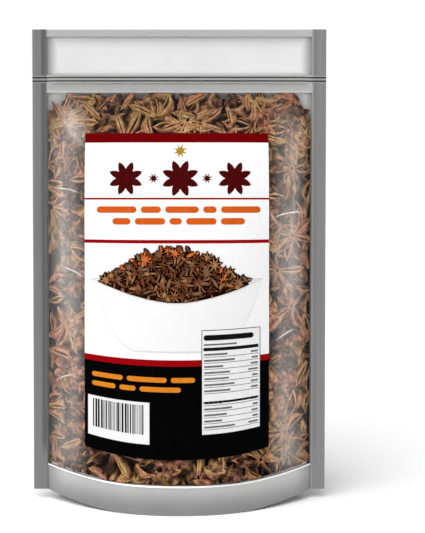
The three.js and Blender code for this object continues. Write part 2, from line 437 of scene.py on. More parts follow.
def soft_bumps(x, h):
    """0 to 1: dents and swellings about as wide as a pod, gone at the seals and above the contents."""
    total = 0
    for way, length, phase in zip(wave_way, wave_length, wave_phase):
        total = total + np.sin(2 * math.pi * (x * math.cos(way) + h * math.sin(way)) / length + phase)
    seals = smooth_step(0, 16 * MM, HALF_WINDOW - np.abs(x)) * smooth_step(FILL_TOP, FILL_TOP - 14 * MM, h)
    above_skirt = smooth_step(SKIRT_HEIGHT, SKIRT_HEIGHT + 10 * MM, h)
    return (0.5 + total / (3.2 * math.sqrt(WAVES))) * seals * above_skirt


def film_dent(x, h, side):
    """How far the film lies inside its smooth form; it stands out over the zip."""
    over_zip = (ZIP_DEPTH + FILM_SHEET + 0.05 * MM - FILM) * zip_body(x, h, 0.3 * MM)
    return DENT[side] * soft_bumps(-side * x, h) - over_zip


def film_sheet(name, side, *materials, **looks):
    """The columns run so that the outside faces out, which is the other way round on the back."""
    x, h = np.meshgrid(window_columns[::-side], film_rows)
    dent = film_dent(x, h, side)
    outside, inside = film(x, h, side, -dent), film(x, h, side, -dent - FILM_SHEET)
    return closed_sheet(name, outside, inside, *materials, **looks)


window_columns = np.linspace(-HALF_WINDOW - SEAL_OVERLAP, HALF_WINDOW + SEAL_OVERLAP, 96)
film_rows = np.concatenate([
    np.linspace(SKIRT_HEIGHT - SEAL_OVERLAP, FILL_TOP, 112, endpoint=False),
    np.linspace(FILL_TOP, ZIP_HEIGHT - 3 * MM, 6),
    np.linspace(ZIP_HEIGHT - 2.8 * MM, ZIP_HEIGHT + 2.8 * MM, 29),
    np.linspace(ZIP_HEIGHT + 3 * MM, HEADER_TOP + SEAL_OVERLAP, 22),
])
all_silver = [0] * (len(film_rows) - 1)
back_sheet = film_sheet("silver_back_film", BACK, silver_film, silver_inside,
                        row_looks=all_silver, elsewhere=1)
place(back_sheet, "pouch_film", "pouch")

# %% [markdown]
# ## The clear front film
# The front film is where the pods show. It drapes over the pods that press on it, so it gets the same kind of
# soft bumps, only shallower. They are real relief and not only bump shading, because the long soft
# reflections down both sides bend over them.
# %% The front film
place(film_sheet("clear_front_film", FRONT, clear_film), "clear_film")

# %% [markdown]
# ## The finish of the welds
# Down each side and along the top the front and back films are welded flat, and the weld looks like a satin
# grey strip with fine lengthwise lines left by the hot jaws. The zip is crushed flat into both side seals and
# shows there as two lines of painted shade in a paler band. Beside the inner bead lies painted shade, and the
# bead gets painted light; the left weld is a darker, shaded copy of the finish and the right a lighter, lit
# copy with a painted highlight on its bead. All of it follows from a point's place across and up, so one
# finish with a few shares does for the left, the right and the top weld.
# %% Seal finish
ZIP_RIDGE_SPACING = 1.8 * MM


def zip_shade_lines(finish):
    """1 on the zip's two lines of painted shade."""
    off_line = finish.maths("SUBTRACT", finish.off("Z", ZIP_HEIGHT), ZIP_RIDGE_SPACING / 2)
    return finish.fade(finish.maths("ABSOLUTE", off_line), 0.2 * MM, 0.56 * MM)


def seal_finish(name, brightness, painted_inner_shade=1.0, painted_bead_light=1.0):
    """Satin grey, with the painted shade beside the bead and the painted light on the bead itself as shares
    of its brightness.
    """
    seal = Finish(name, 0.42, Specular_IOR_Level=0.2)
    lines = seal.noise(700, 2.0, stretch=(1, 0.02, 0.004))
    cloud = seal.noise(40, stretch=(1, 1, 0.3))
    blend = seal.maths("MULTIPLY_ADD", cloud, 0.4, seal.maths("MULTIPLY", lines, 0.6))
    shade = seal.ramp(blend, (0.38, grey(brightness * 0.87)), (0.62, grey(brightness * 1.08)))
    off_shade = seal.maths("SUBTRACT", seal.off("X"), HALF_WINDOW + 1.7 * MM)
    painted_shade_beside_bead = seal.fade(seal.maths("ABSOLUTE", off_shade), 0.2 * MM, 2.4 * MM)
    painted_shade_beside_bead = seal.maths("MULTIPLY", painted_shade_beside_bead, seal.span(seal.axis("Z"), 20 * MM, 32 * MM))
    painted_light_on_bead = seal.fade(seal.off("X"), HALF_WINDOW + 0.5 * MM, HALF_WINDOW + 1.0 * MM)
    near_zip = seal.fade(seal.off("Z", ZIP_HEIGHT), 1.4 * MM, 2.4 * MM)
    # Painted light: shade beside the bead, light on the bead, and two lines of painted shade at the crushed
    # zip.
    places = [(painted_shade_beside_bead, painted_inner_shade), (painted_light_on_bead, painted_bead_light), (near_zip, 1.3), (zip_shade_lines(seal), 0.03)]
    for where, share in places:
        shade = seal.mix(where, shade, grey(brightness * share))
    seal.colour(shade)
    seal.bump(lines, 0.12 * MM, 0.5)
    return seal.material


# The left weld is a darker, shaded copy and the right a lighter, lit copy of the same finish.
seal_finishes = [
    seal_finish("seal_grey_left_shaded", 0.178, 0.5, 0.95),
    seal_finish("seal_grey_right_lit", 0.205, 0.85, 1.45),
    seal_finish("top_seal_grey", 0.375),
]
print("finishes:", [material.name for material in seal_finishes])

# %% [markdown]
# ## The welded seals
# Each weld is its own thin closed sheet with a rounded bead along its inner edge, where the molten film was
# squeezed out, and the crushed zip leaves two low ridges across the side seals. A bell curve gives every such
# ridge, and a quarter circle the edges.
# %% The side and top seals
SEAL_HALF = 0.5 * MM
CUT_EDGE = 0.25              # share of the thickness that is left at the very edge
EDGE_RADIUS = 0.4 * MM
INNER_START = 0.01 * MM      # how far the inner edge's rounding starts outside the strip
BEAD = 0.35 * MM
BEAD_WIDTH = 1.1 * MM
ZIP_RIDGE = 0.28 * MM


def ridge(value, middle, width):
    return np.exp(-(((value - middle) / width) ** 2))


def zip_ridges(z, width):
    """Two ridges at the height of the zip's lines."""
    return sum(ridge(z, ZIP_HEIGHT + side * ZIP_RIDGE_SPACING / 2, width) for side in (-1, 1))


def crowded(start, length, count):
    """Places from start on, closer together near both ends."""
    return start + length * (0.5 - 0.5 * np.cos(np.linspace(0, math.pi, count)))


def strip(name, x, z, from_inner, from_outer, relief, material):
    """A flat weld with two rounded edges, SEAL_HALF thick each side of the middle plane, plus its relief."""
    from_edge = np.minimum(from_inner + INNER_START, from_outer)
    flat = np.sqrt(1 - (1 - np.clip(from_edge / EDGE_RADIUS, 0, 1)) ** 2)
    thick = SEAL_HALF * (CUT_EDGE + (1 - CUT_EDGE) * flat) + relief
    return closed_sheet(name, np.stack([x, -thick, z], -1), np.stack([x, thick, z], -1), material)


def side_seal(name, side, material):
    columns = np.sort(side * crowded(HALF_WINDOW, SIDE_SEAL, 25))
    rows = np.concatenate([
        np.linspace(0, ZIP_HEIGHT - 3.5 * MM, 90),
        np.linspace(ZIP_HEIGHT - 3 * MM, ZIP_HEIGHT + 3 * MM, 31),
        np.linspace(ZIP_HEIGHT + 3.5 * MM, POUCH_HEIGHT, 14),
    ])
    x, h = np.meshgrid(columns, rows)
    out = np.abs(x)
    bead = BEAD * ridge(out, HALF_WINDOW + BEAD_WIDTH, 0.45 * BEAD_WIDTH) * smooth_step(18 * MM, 32 * MM, h)
    relief = bead + ZIP_RIDGE * zip_ridges(h, 0.35 * MM)
    return strip(name, x, film_height(x, h), out - HALF_WINDOW, HALF_WIDTH - out, relief, material)


def top_seal(name, material):
    x, h = np.meshgrid(np.linspace(-HALF_WINDOW, HALF_WINDOW, 60), crowded(HEADER_TOP, TOP_SEAL, 13))
    bead = 0.1 * BEAD * ridge(h, HEADER_TOP + 0.5 * MM, 0.4 * MM)
    return strip(name, x, h, h - HEADER_TOP, POUCH_HEIGHT - h, bead, material)


place(side_seal("side_seal_left", -1, seal_finishes[0]), "pouch_film")
place(side_seal("side_seal_right", 1, seal_finishes[1]), "pouch_film")
place(top_seal("top_seal", seal_finishes[2]), "pouch_film")

# %% [markdown]
# ## The zip
# Under the tear-off header runs the press-to-close zip. Each half is a moulded track with two ribs and a flat
# flange below it, welded to the inside of its film. Through the film the zip shows as a pale band with two
# lines of painted shade in its grooves, and the flange as a plain grey band. The two halves are alike, so one
# function makes both, with two grooves in the outer face where the ribs lock.
# %% The zip tracks
RIB_DEPTH = 0.45 * MM
FLANGE = 0.38 * MM
FLANGE_BOTTOM = FILL_TOP - 0.9 * MM
ZIP_GAP = 0.12 * MM          # between a track's inner face and the middle plane


def zip_finish():
    plastic = Finish("zip_plastic", 0.34, Specular_IOR_Level=0.5)
    shade = plastic.ramp(plastic.noise(50, stretch=(0.2, 1, 1)), (0.3, grey(0.38)), (0.7, grey(0.42)))
    shade = plastic.mix(plastic.fade(plastic.off("Z", ZIP_HEIGHT), 1.0 * MM, 1.8 * MM), shade, grey(0.345))
    lower_edge = plastic.span(plastic.axis("Z"), FLANGE_BOTTOM + 0.4 * MM, FLANGE_BOTTOM + 1.4 * MM, 0.8, 0.0)
    shade = plastic.mix(lower_edge, shade, grey(0.52))
    # painted shade: the two grooves are coloured nearly black
    plastic.colour(plastic.mix(zip_shade_lines(plastic), shade, grey(0.03)))
    return plastic.material


def zip_track(name, side, material):
    rows = np.concatenate([
        np.linspace(FLANGE_BOTTOM, ZIP_HEIGHT - 2.4 * MM, 5),
        np.linspace(ZIP_HEIGHT - 2.2 * MM, ZIP_HEIGHT + 2.2 * MM, 45),
    ])
    columns = np.linspace(-HALF_WINDOW - SEAL_OVERLAP, HALF_WINDOW + SEAL_OVERLAP, 64)
    x, z = np.meshgrid(columns[::-side], rows)
    body = zip_body(x, z)
    face = FLANGE + (ZIP_DEPTH - FLANGE) * body - RIB_DEPTH * zip_ridges(z, 0.32 * MM) * body
    inside = np.stack([x, np.full_like(x, side * ZIP_GAP), z], -1)
    return closed_sheet(name, np.stack([x, side * face, z], -1), inside, material)


zip_plastic = zip_finish()
place(zip_track("zip_front", FRONT, zip_plastic), "zip_plastic", "zip_track_front")
place(zip_track("zip_back", BACK, zip_plastic), "zip_plastic", "zip_track_back")

# %% [markdown]
# ## The skirt
# A stand-up pouch stands on a skirt: the lower edges of the front and back films, welded to a third film, the
# gusset, that is folded in between them. The skirt is stiff and curves round the base. It is made from the
# same formula as the films above it, so that they meet, with a bead along its upper edge that is painted a
# paler silver as a highlight. Painted shade darkens the skirt from under the bead down to the cut edge.
# %% The skirt
SKIRT_THICKNESS = 1.1 * MM
SKIRT_BEAD = 0.5 * MM
# The bead's rows get a paler silver, a painted highlight.
BEAD_ROWS = 4                # rows of faces that are the bright bead


def skirt_finish():
    """Satin silver with painted shade: pale under the upper weld line and darker down to the cut edge."""
    skirt = Finish("skirt_silver_shaded", 0.36, Metallic=0.25)
    # painted shade, darker towards the cut edge
    up = skirt.span(skirt.axis("Z"), 1 * MM, 19 * MM)
    smudge = skirt.maths("MULTIPLY_ADD", skirt.noise(30, 4.0), 0.28, -0.14)
    level = skirt.maths("ADD", up, smudge, clamp=True)
    shade = skirt.ramp(level, (0.0, grey(0.20)), (0.45, grey(0.33)), (1.0, grey(0.50)))
    ends = skirt.span(skirt.off("X"), HALF_WINDOW - 10 * MM, HALF_WINDOW - 1 * MM, 0.0, 0.6)
    skirt.colour(skirt.mix(ends, shade, grey(0.2)))
    skirt.bump(skirt.noise(70, 4.0), 0.35 * MM, 0.35)
    return skirt.material


def skirt_band(name, side, *materials):
    columns = np.linspace(-HALF_WINDOW, HALF_WINDOW, 111)[::-side]
    plain_rows = np.linspace(0, SKIRT_HEIGHT - 1.6 * MM, 16)
    rows = np.concatenate([plain_rows, np.linspace(SKIRT_HEIGHT - 1.4 * MM, SKIRT_HEIGHT, 9)])
    x, h = np.meshgrid(columns, rows)
    bead = SKIRT_BEAD * ridge(h, SKIRT_HEIGHT - 0.8 * MM, 0.5 * MM)
    room = np.minimum(SKIRT_THICKNESS, film_depth(x, h, side) - 0.1 * MM)
    outside, inside = film(x, h, side, bead - 0.12 * MM), film(x, h, side, -room)
    row_looks = [0] * (len(rows) - 1 - BEAD_ROWS) + [1] * BEAD_ROWS
    return closed_sheet(name, outside, inside, *materials, row_looks=row_looks)


skirt_silver_shaded = skirt_finish()
# painted highlight: a paler silver for the bead
skirt_bead_highlight = silver_film_finish("skirt_bead_highlight", 0.8, 0.3, 0.2)
place(skirt_band("skirt_front", FRONT, skirt_silver_shaded, skirt_bead_highlight), "pouch_film")
place(skirt_band("skirt_back", BACK, skirt_silver_shaded, skirt_bead_highlight), "pouch_film")

# %% [markdown]
# ## The gusset
# The gusset shows from below. It leaves the skirt at the top of the weld, curls down and lies on the table in
# the middle, which is what the pouch really stands on. Its height follows from how far a point is from the
# skirt, so a formula bends it, where cloth simulation would have to be run and frozen.
# %% The gusset
GUSSET_CURL = 14 * MM
GUSSET_SAG = 1.5 * MM
GUSSET_TUCK = 2 * MM


def skirt_inside(x, side):
    return np.maximum(film_depth(x, 0, side) - 2 * FILM, 0.2 * MM)


def gusset_height(x, from_skirt):
    hang = np.clip(1 - from_skirt / GUSSET_CURL, 0, 1) ** 2
    return bottom_edge(x) + np.maximum((SKIRT_HEIGHT + GUSSET_SAG) * hang - GUSSET_SAG, 0)


def gusset_sheet(name, material):
    reach = HALF_WINDOW - GUSSET_TUCK
    across = np.sin(np.linspace(-1, 1, 61) * math.pi / 2)
    x, share = np.meshgrid(np.linspace(-reach, reach, 91), across)
    room = np.where(share < 0, skirt_inside(x, FRONT), skirt_inside(x, BACK))
    under = np.stack([x, share * room, gusset_height(x, room * (1 - np.abs(share)))], -1)
    over = under + np.array([0, 0, FILM_SHEET])
    return closed_sheet(name, under[::-1], over[::-1], material)


place(gusset_sheet("gusset", silver_film), "pouch_film")

# %% [markdown]
# ## One carpel of star anise
# A star anise pod is a ring of about eight carpels, woody boats that split open along the top and show one
# seed. Sculpting each would take days. Instead one formula lofts a boat: a cross-section with an outer skin,
# a thin lip and an inner wall is swept from the middle of the star to the beak, and every width, depth and
# gape is drawn at random within what real pods show. The skin remembers where its lips and its inside are,
# for the colour.
# %% Faces of a loft, and the section of a boat
STATIONS = 15
LEVELS_OUT = np.linspace(-1, 1, 11)
LEVELS_IN = np.linspace(1, -1, 8)
BILGE = 0.55                # level, from keel 0 to lip 1, at which a carpel is widest


def loft_faces(stations, around):
    """Faces of a closed loft of rings, with a fan over each end round one more point."""
    ring = np.arange(stations * around).reshape(stations, around)
    turned = np.roll(ring, -1, axis=1)
    quads = np.stack([ring[:-1], turned[:-1], turned[1:], ring[1:]], -1).reshape(-1, 4)
    first = np.full(around, ring.size)
    fans = [np.stack([first, turned[0], ring[0]], 1), np.stack([first + 1, ring[-1], turned[-1]], 1)]
    return quads, np.concatenate(fans)


def boat_section(level, half_width, keel, lip):
    low = np.clip(level / BILGE, 0, 1) * math.pi / 2
    high = smooth_step(BILGE, 1, level)
    side = half_width * np.sin(low) * (1 - high) + lip * high
    rise = 0.5 * (1 - np.cos(low)) + 0.5 * np.clip((level - BILGE) / (1 - BILGE), 0, 1)
    return side, keel * (rise - 1)


CARPEL_FACES = loft_faces(STATIONS, len(LEVELS_OUT) + len(LEVELS_IN))
print("a carpel has", 2 * len(CARPEL_FACES[0]) + len(CARPEL_FACES[1]), "triangles")

# %% [markdown]
# ## The skin of a carpel
# Along the boat, u runs from 0 at the middle of the star to 1 at the beak. Width, keel and lips are curves of
# u, and a few sines wrinkle the outer skin. Each point also gets four numbers for the finish: how much it is
# lip, whether it is inside, the tone of its carpel, and how much painted shade it gets in the folds of the
# skin, deep inside the boat and near the stalk.
# %% The carpel
def carpel(draw, length, gape, tone):
    """Points and husk colours of one carpel: +X out to the beak, +Z out of the open seam."""
    u = np.linspace(0, 1, STATIONS) ** 0.9
    along = u * length
    wide = length * draw.uniform(0.17, 0.25)
    deep = length * draw.uniform(0.38, 0.5)
    curl = length * draw.uniform(0.02, 0.16)
    hook = length * draw.normal(0, 0.05)
    phase = draw.uniform(0, 2 * math.pi, 4)
    beak = smooth_step(0.72, 1.0, u)
    half = wide * (0.3 + 0.7 * np.sin(math.pi * np.clip(u / 1.02, 0, 1) ** 0.95) ** 0.8) * (1 - 0.9 * beak)
    keel = deep * (0.62 + 0.38 * np.sin(math.pi * np.clip(u * 1.05, 0, 1)))
    keel = keel * (1 - 0.88 * smooth_step(0.45, 1, u) ** 0.9)
    seam = curl * smooth_step(0.6, 1, u) - 0.04 * length * np.sin(math.pi * u)
    wall = length * draw.uniform(0.045, 0.065) * (1 - 0.6 * beak)
    open_share = np.sin(math.pi * np.clip((u - 0.08) / 0.86, 0, 1)) ** 0.6
    lip = gape * np.clip(half - wall, 0, None) * open_share + 0.05 * wall
    rings, colours = [], []
    for level in LEVELS_OUT:
        edge = abs(level)
        side, drop = boat_section(edge, half, keel, lip + wall)
        wrinkle = np.sin(7 * level + 9 * u + phase[0]) + np.sin(13 * level - 17 * u + phase[1])
        wrinkle = wrinkle + 0.8 * np.sin(25 * u + 5 * level + phase[2])
        swell = 0.014 * length * wrinkle * min(1, 4 * (1 - edge)) * smooth_step(0, 0.1, u) * (1 - beak)
        rings.append([along, np.sign(level) * (side + swell * edge), seam + drop - swell * (1 - edge)])
        rim = 0.8 * smooth_step(0.84, 1, edge) + 0 * u
        # Painted shade: darker in the valleys of the wrinkles and near the stalk, between the carpels.
        stalk_shade = 1.4 * (1 - smooth_step(0.05, 0.5, u)) * np.sin(math.pi * min(edge / 0.9, 1))
        fold_shade = np.maximum(np.clip(0.5 - 0.22 * wrinkle, 0, 1) * (1 - 0.5 * edge), stalk_shade)
        colours.append([rim, 0 * u, 0 * u + tone, fold_shade])
    for level in LEVELS_IN:
        edge = abs(level)
        inner_half = np.maximum(half - wall, 0.2 * half)
        inner_keel = np.maximum(0.75 * keel - wall, 0.3 * keel)
        side, drop = boat_section(edge, inner_half, inner_keel, lip)
        bevel = 0.3 * wall * smooth_step(0.6, 1, edge) * (edge < 1)
        rings.append([along, np.sign(level) * side, seam + drop - bevel])
        rim = 0.9 * smooth_step(0.66, 1, edge) + 0 * u
        # inside, the painted shade deepens towards the keel
        colours.append([rim, 0 * u + 1, 0 * u + tone, 0 * u + 1 - edge])
    points = np.array(rings).transpose(2, 0, 1)
    points[..., 1] += (hook * smooth_step(0.4, 1, u) ** 2)[:, None]
    colours = np.array(colours).transpose(2, 0, 1)
    ends = [0, STATIONS - 1]
    points = np.concatenate([points.reshape(-1, 3), points[ends].mean(1)])
    colours = np.concatenate([colours.reshape(-1, 4), colours[ends].mean(1)])
    return points, colours


sample_points, _ = carpel(np.random.default_rng(1), 15 * MM, 0.5, 0.5)
sample_size = np.round(np.ptp(sample_points, 0) / MM, 1)
print("a carpel of 15 mm has", len(sample_points), "points and is, mm:", sample_size)

# %% [markdown]
# ## Seeds, stalks and whole stars
# A star is carpels set round a short column, on a stalk that is often broken off. No two carpels are the same
# size, some never filled out, and they tilt and roll a little. Broken stars and single carpels use the same
# code with part of the ring left out, as they do in a real bag.
# %% Seeds and stalks
def lathe(profile, sides):
    """A closed spindle from (height, radius) pairs, thin at both ends."""
    around = np.arange(sides) * 2 * math.pi / sides
    heights, radii = np.array(profile).T
    height_rows = np.repeat(heights[:, None], sides, 1)
    points = np.stack([np.outer(radii, np.cos(around)), np.outer(radii, np.sin(around)), height_rows], -1)
    ends = [[0, 0, heights[0]], [0, 0, heights[-1]]]
    return np.concatenate([points.reshape(-1, 3), ends]), *loft_faces(len(profile), sides)


SEED_PROFILE = [(math.cos(t), math.sin(t)) for t in np.linspace(math.pi - 0.25, 0.25, 7)]
SEED_POINTS, *SEED_FACES = lathe(SEED_PROFILE, 9)
SEED_HALF = np.array([1.35, 2.0, 3.0]) * MM     # half sizes across, up and along
STALK_PROFILE = [
    (-1, 0.8), (-0.93, 0.75), (-0.72, 0.55), (-0.5, 0.5),
    (-0.28, 0.55), (-0.1, 0.8), (0.04, 1.3), (0.12, 0.8),
]
STALK_POINTS, *STALK_FACES = lathe(STALK_PROFILE, 8)
STALK_RADIUS = 1.25 * MM


def turn(axis, angle):
    c, s = math.cos(angle), math.sin(angle)
    i, j = [(1, 2), (2, 0), (0, 1)]["XYZ".index(axis)]
    matrix = np.eye(3)
    matrix[i, i] = matrix[j, j] = c
    matrix[i, j], matrix[j, i] = -s, s
    return matrix


print("points of a seed and a stalk:", len(SEED_POINTS), len(STALK_POINTS))

# %% [markdown]
# ## A whole star
# A star keeps its parts and, beside them, a few balls that fill out its carpels. The balls stand for it while
# it settles in the pouch, because pushing balls apart is far quicker than testing meshes against each other.
# %% Stars
POD_LENGTHS = (14 * MM, 17 * MM)        # a carpel's length: stars of 30 to 36 mm across
FULL_SIZE = 16 * MM                     # the length of carpel that a seed of SEED_HALF grows in
INNER_RADIUS = 1.1 * MM
CARPEL_BALLS = (                        # places along and down, and radius, as shares of the carpel's length
    (0.45, 0.2, 0.2),
    (0.8, 0.08, 0.1),
    (0.12, 0.22, 0.12),
)
GAPES = (0.02, 0.06, 0.12, 0.2, 0.35, 0.6, 0.9)
SEED_GAPE = 0.3                         # a carpel that gapes more may show its seed
SEED_SHARE = 0.72                       # of those carpels still hold it
STUNTED_SHARE = 0.14                    # of the carpels never filled out
STALK_SHARE = 0.6                       # of the pods keep a long stalk


class Star:
    """One pod, whole or broken, in its own frame: its parts and the balls that stand for it in the solver."""

    def __init__(self, draw, length, carpels, kept):
        self.parts = []          # (points, quads, triangles, colours, is_seed)
        self.balls = []          # (x, y, z, radius)
        tone = draw.uniform(0, 1)
        first = draw.integers(carpels)
        for number in range(kept):
            self.add_carpel(draw, length, 2 * math.pi * (first + number) / carpels, tone, kept)
        if kept > 2:
            self.add_stalk(draw, length, tone)
            self.balls.append((0, 0, -0.22 * length, 0.25 * length))
        centre = np.mean([ball[:3] for ball in self.balls], 0) if kept <= 2 else np.zeros(3)
        self.parts = [(points - centre, *rest) for points, *rest in self.parts]
        self.balls = np.array(self.balls) - [*centre, 0]

    def add_carpel(self, draw, length, yaw, tone, kept):
        stunted = draw.random() < STUNTED_SHARE and kept > 2
        size = length * (draw.uniform(0.45, 0.72) if stunted else draw.uniform(0.84, 1.04))
        gape = draw.uniform(0, 0.12) if stunted else draw.choice(GAPES)
        points, colours = carpel(draw, size, gape, np.clip(tone + draw.normal(0, 0.18), 0, 1))
        way = turn("Z", yaw + draw.normal(0, 0.07)) @ turn("Y", draw.normal(0.04, 0.13))
        way = way @ turn("X", draw.normal(0, 0.17))
        base = np.array([INNER_RADIUS, 0, 0])
        self.parts.append(((points + base) @ way.T, *CARPEL_FACES, colours, False))
        for share, drop, radius in CARPEL_BALLS[:2 if kept > 2 else 3]:
            middle = (np.array([share * size, 0, -drop * size]) + base) @ way.T
            self.balls.append((*middle, radius * size))
        if not stunted and gape > SEED_GAPE and draw.random() < SEED_SHARE:
            seed = SEED_POINTS * SEED_HALF * (size / FULL_SIZE)
            seed = seed[:, [2, 0, 1]] + [0.5 * size, 0, -0.22 * size]
            shine = np.tile([0.0, 0.0, draw.uniform(0, 1), 1.0], (len(seed), 1))
            self.parts.append(((seed + base) @ way.T, *SEED_FACES, shine, True))

    def add_stalk(self, draw, length, tone):
        reach = length * draw.uniform(0.5, 0.95) if draw.random() < STALK_SHARE else 0.2 * length
        points = STALK_POINTS * [STALK_RADIUS, STALK_RADIUS, reach]
        bend = draw.normal(0, 0.25, 2)
        points[:, :2] += np.outer((points[:, 2] / reach) ** 2 * reach, bend)
        points[:, 2] -= 0.34 * length
        colours = np.tile([0.25, 0.0, tone, 1.0], (len(points), 1))
        self.parts.append((points, *STALK_FACES, colours, False))


sample = Star(np.random.default_rng(1), 15 * MM, 8, 8)
triangles = sum(2 * len(quads) + len(fans) for _, quads, fans, _, _ in sample.parts)
print("a whole star has", triangles, "triangles")

# %% [markdown]
# ## Filling the pouch
# Real pods fall in and wedge against each other and the film. Blender's rigid bodies could drop them, but
# interlocking stars make that slow and jittery, so a small solver of a few cells does it. First the pods are
# scattered where they can be seen past the label, in two layers, with broken ones and single carpels between.
# %% What goes in, and where
LABEL_WIDTH = 92.8 * MM
LABEL_CENTRE_X = -1.3 * MM
LABEL_BOTTOM = 31.2 * MM
LABEL_TOP = 189.8 * MM
BEHIND_LABEL = 15 * MM      # how far the loose pods go on behind the label's edges
SINGLE_LENGTHS = (13 * MM, 16 * MM)
FACING_SHARE = 0.66         # of the pods turn their seams to the film
TRIES = 6000
fill_draw = np.random.default_rng(21)
stars, centres, ways = [], [], []


def hidden_by_label(x, z):
    across = np.abs(x - LABEL_CENTRE_X) < LABEL_WIDTH / 2 - BEHIND_LABEL
    return across & (z > LABEL_BOTTOM + BEHIND_LABEL) & (z < LABEL_TOP - BEHIND_LABEL)


def scatter(spacing, edge, top, beyond=0.0, lowest=SKIRT_HEIGHT):
    """Places at least that far apart where pods can be seen, and at least beyond from the middle line."""
    chosen = []
    for _ in range(TRIES):
        x = fill_draw.uniform(-HALF_WINDOW + edge, HALF_WINDOW - edge)
        z = fill_draw.uniform(lowest + edge * 0.6, top)
        crowded_out = any(math.hypot(x - a, z - b) < spacing for a, b in chosen)
        if abs(x) >= beyond and not hidden_by_label(x, z) and not crowded_out:
            chosen.append((x, z))
    return chosen


def random_way(lean):
    """A turn that faces the pod to the film or away from it, leant over by about that many radians."""
    facing = 1 if fill_draw.random() < FACING_SHARE else -1
    spin = turn("Z", fill_draw.uniform(0, 2 * math.pi))
    leant = turn("Z", fill_draw.normal(0, lean)) @ turn("X", facing * math.pi / 2 + fill_draw.normal(0, lean))
    return leant @ spin


def drop_in(places, depth, lean, make):
    """Puts one new star at each place, that deep behind the front film or half way to the back one."""
    for x, z in places:
        stars.append(make())
        room = film_depth(x, z, FRONT) + film_depth(x, z, BACK)
        centres.append((x, min(depth, room / 2) - film_depth(x, z, FRONT), z))
        ways.append(random_way(lean))


def whole_star():
    carpels = fill_draw.choice([7, 8, 8, 8, 9])
    return Star(fill_draw, fill_draw.uniform(*POD_LENGTHS), carpels, carpels)


def broken_star():
    return Star(fill_draw, fill_draw.uniform(*POD_LENGTHS), 8, int(fill_draw.integers(3, 6)))


def single_carpel():
    return Star(fill_draw, fill_draw.uniform(*SINGLE_LENGTHS), 8, 1)


drop_in(scatter(spacing=16 * MM, edge=6 * MM, top=209 * MM), depth=7 * MM, lean=0.8, make=whole_star)
drop_in(scatter(spacing=20 * MM, edge=15 * MM, top=194 * MM), depth=20 * MM, lean=0.9, make=whole_star)
whole = len(stars)
drop_in(scatter(spacing=23 * MM, edge=5 * MM, top=206 * MM), depth=9 * MM, lean=0.7, make=broken_star)
drop_in(scatter(spacing=14 * MM, edge=4 * MM, top=211 * MM), depth=5 * MM, lean=1.0, make=single_carpel)
at_sides = scatter(spacing=9.5 * MM, edge=1 * MM, top=200 * MM, beyond=60 * MM)
drop_in(at_sides, depth=4 * MM, lean=1.2, make=single_carpel)
at_top = scatter(spacing=12 * MM, edge=9 * MM, top=211 * MM, lowest=199 * MM)
drop_in(at_top, depth=5 * MM, lean=1.0, make=broken_star)
print("whole stars:", whole, "broken ones and single carpels:", len(stars) - whole)

# %% [markdown]
# ## Keeping the stars inside
# The film, the gusset and the height of the fill are walls that a ball may not cross. Each wall is one of the
# formulas above, so how far a ball is past it, and which way it must go back, can be worked out for all balls
# at once. A last wall behind the two layers keeps them near the front film.
# %% Walls of the pouch
CLEARANCE = 0.45 * MM
LAYERS = 31 * MM            # depth of the settled layers, measured from the front film
STEP = 0.5 * MM             # between two depths that are compared to find a slope
LARGEST_PUSH = 6 * MM
CORNER_FALL = 15 * MM


def heaped_top(x):
    """The height the pods reach: up to the zip in the middle and less far in both corners."""
    return FILL_TOP - CORNER_FALL * smooth_step(0.86, 1.0, np.abs(x) / HALF_WINDOW)


def gusset_under(x, y):
    """Height of the gusset below each point."""
    from_skirt = np.clip(np.minimum(y + skirt_inside(x, FRONT), skirt_inside(x, BACK) - y), 0, GUSSET_CURL)
    return gusset_height(x, from_skirt)


def lowered(x, z):
    """The h of a film point at height z, near enough."""
    return z - bottom_edge(x) * np.clip(1 - z / LIFT_FADE, 0, 1) ** 2


def inside_push(points, radii):
    """How far, and which way, each ball must move to be inside the pouch."""
    x, y, z = points.T
    h = lowered(x, z)
    push = np.zeros_like(points)
    for side in (FRONT, BACK):
        depth = film_depth(x, h, side)
        slope_x = (film_depth(x + STEP, h, side) - depth) / STEP
        slope_z = (film_depth(x, h + STEP, side) - depth) / STEP
        normal = np.stack([slope_x, -side * np.ones_like(x), slope_z], 1)
        size = np.linalg.norm(normal, axis=1)
        short = np.clip(radii + CLEARANCE - (depth - side * y) / size, 0, LARGEST_PUSH)
        push += normal / size[:, None] * short[:, None]
    push[:, 2] += np.clip(gusset_under(x, y) + radii + CLEARANCE - z, 0, LARGEST_PUSH)
    push[:, 2] -= np.clip(z + 0.3 * radii - heaped_top(x), 0, LARGEST_PUSH)
    push[:, 0] -= np.sign(x) * np.clip(np.abs(x) + 0.4 * radii - HALF_WINDOW, 0, 20 * MM)
    push[:, 1] -= np.clip(y + radii - (LAYERS - film_depth(x, h, FRONT)), 0, 3 * MM)
    return push


placed = zip(stars, centres, ways)
every_ball = np.concatenate([centre + star.balls[:, :3] @ way.T for star, centre, way in placed])
every_radius = np.concatenate([star.balls[:, 3] for star in stars])
outside = np.linalg.norm(inside_push(every_ball, every_radius), axis=1) > 0
print("balls that start outside the walls:", int(outside.sum()), "of", len(outside))

# %% [markdown]
# ## Settling the stars
# One round of the solver moves every ball a little outwards, pushes overlapping balls of different stars
# apart, pushes each ball back inside the pouch, and then finds the turn and shift that bring each star
# nearest to where its balls went. Repeated a hundred times or so, the stars come to rest touching each other.
# %% The solver
ROUNDS = 140
NEW_NEIGHBOURS = 7          # rounds between two searches for balls that may touch
NEIGHBOUR_MARGIN = 3 * MM
PULL = 0.4 * MM             # how far a round pulls the stars towards the film
MIDDLE = 115 * MM           # height from which the pods are drawn up, and below it down


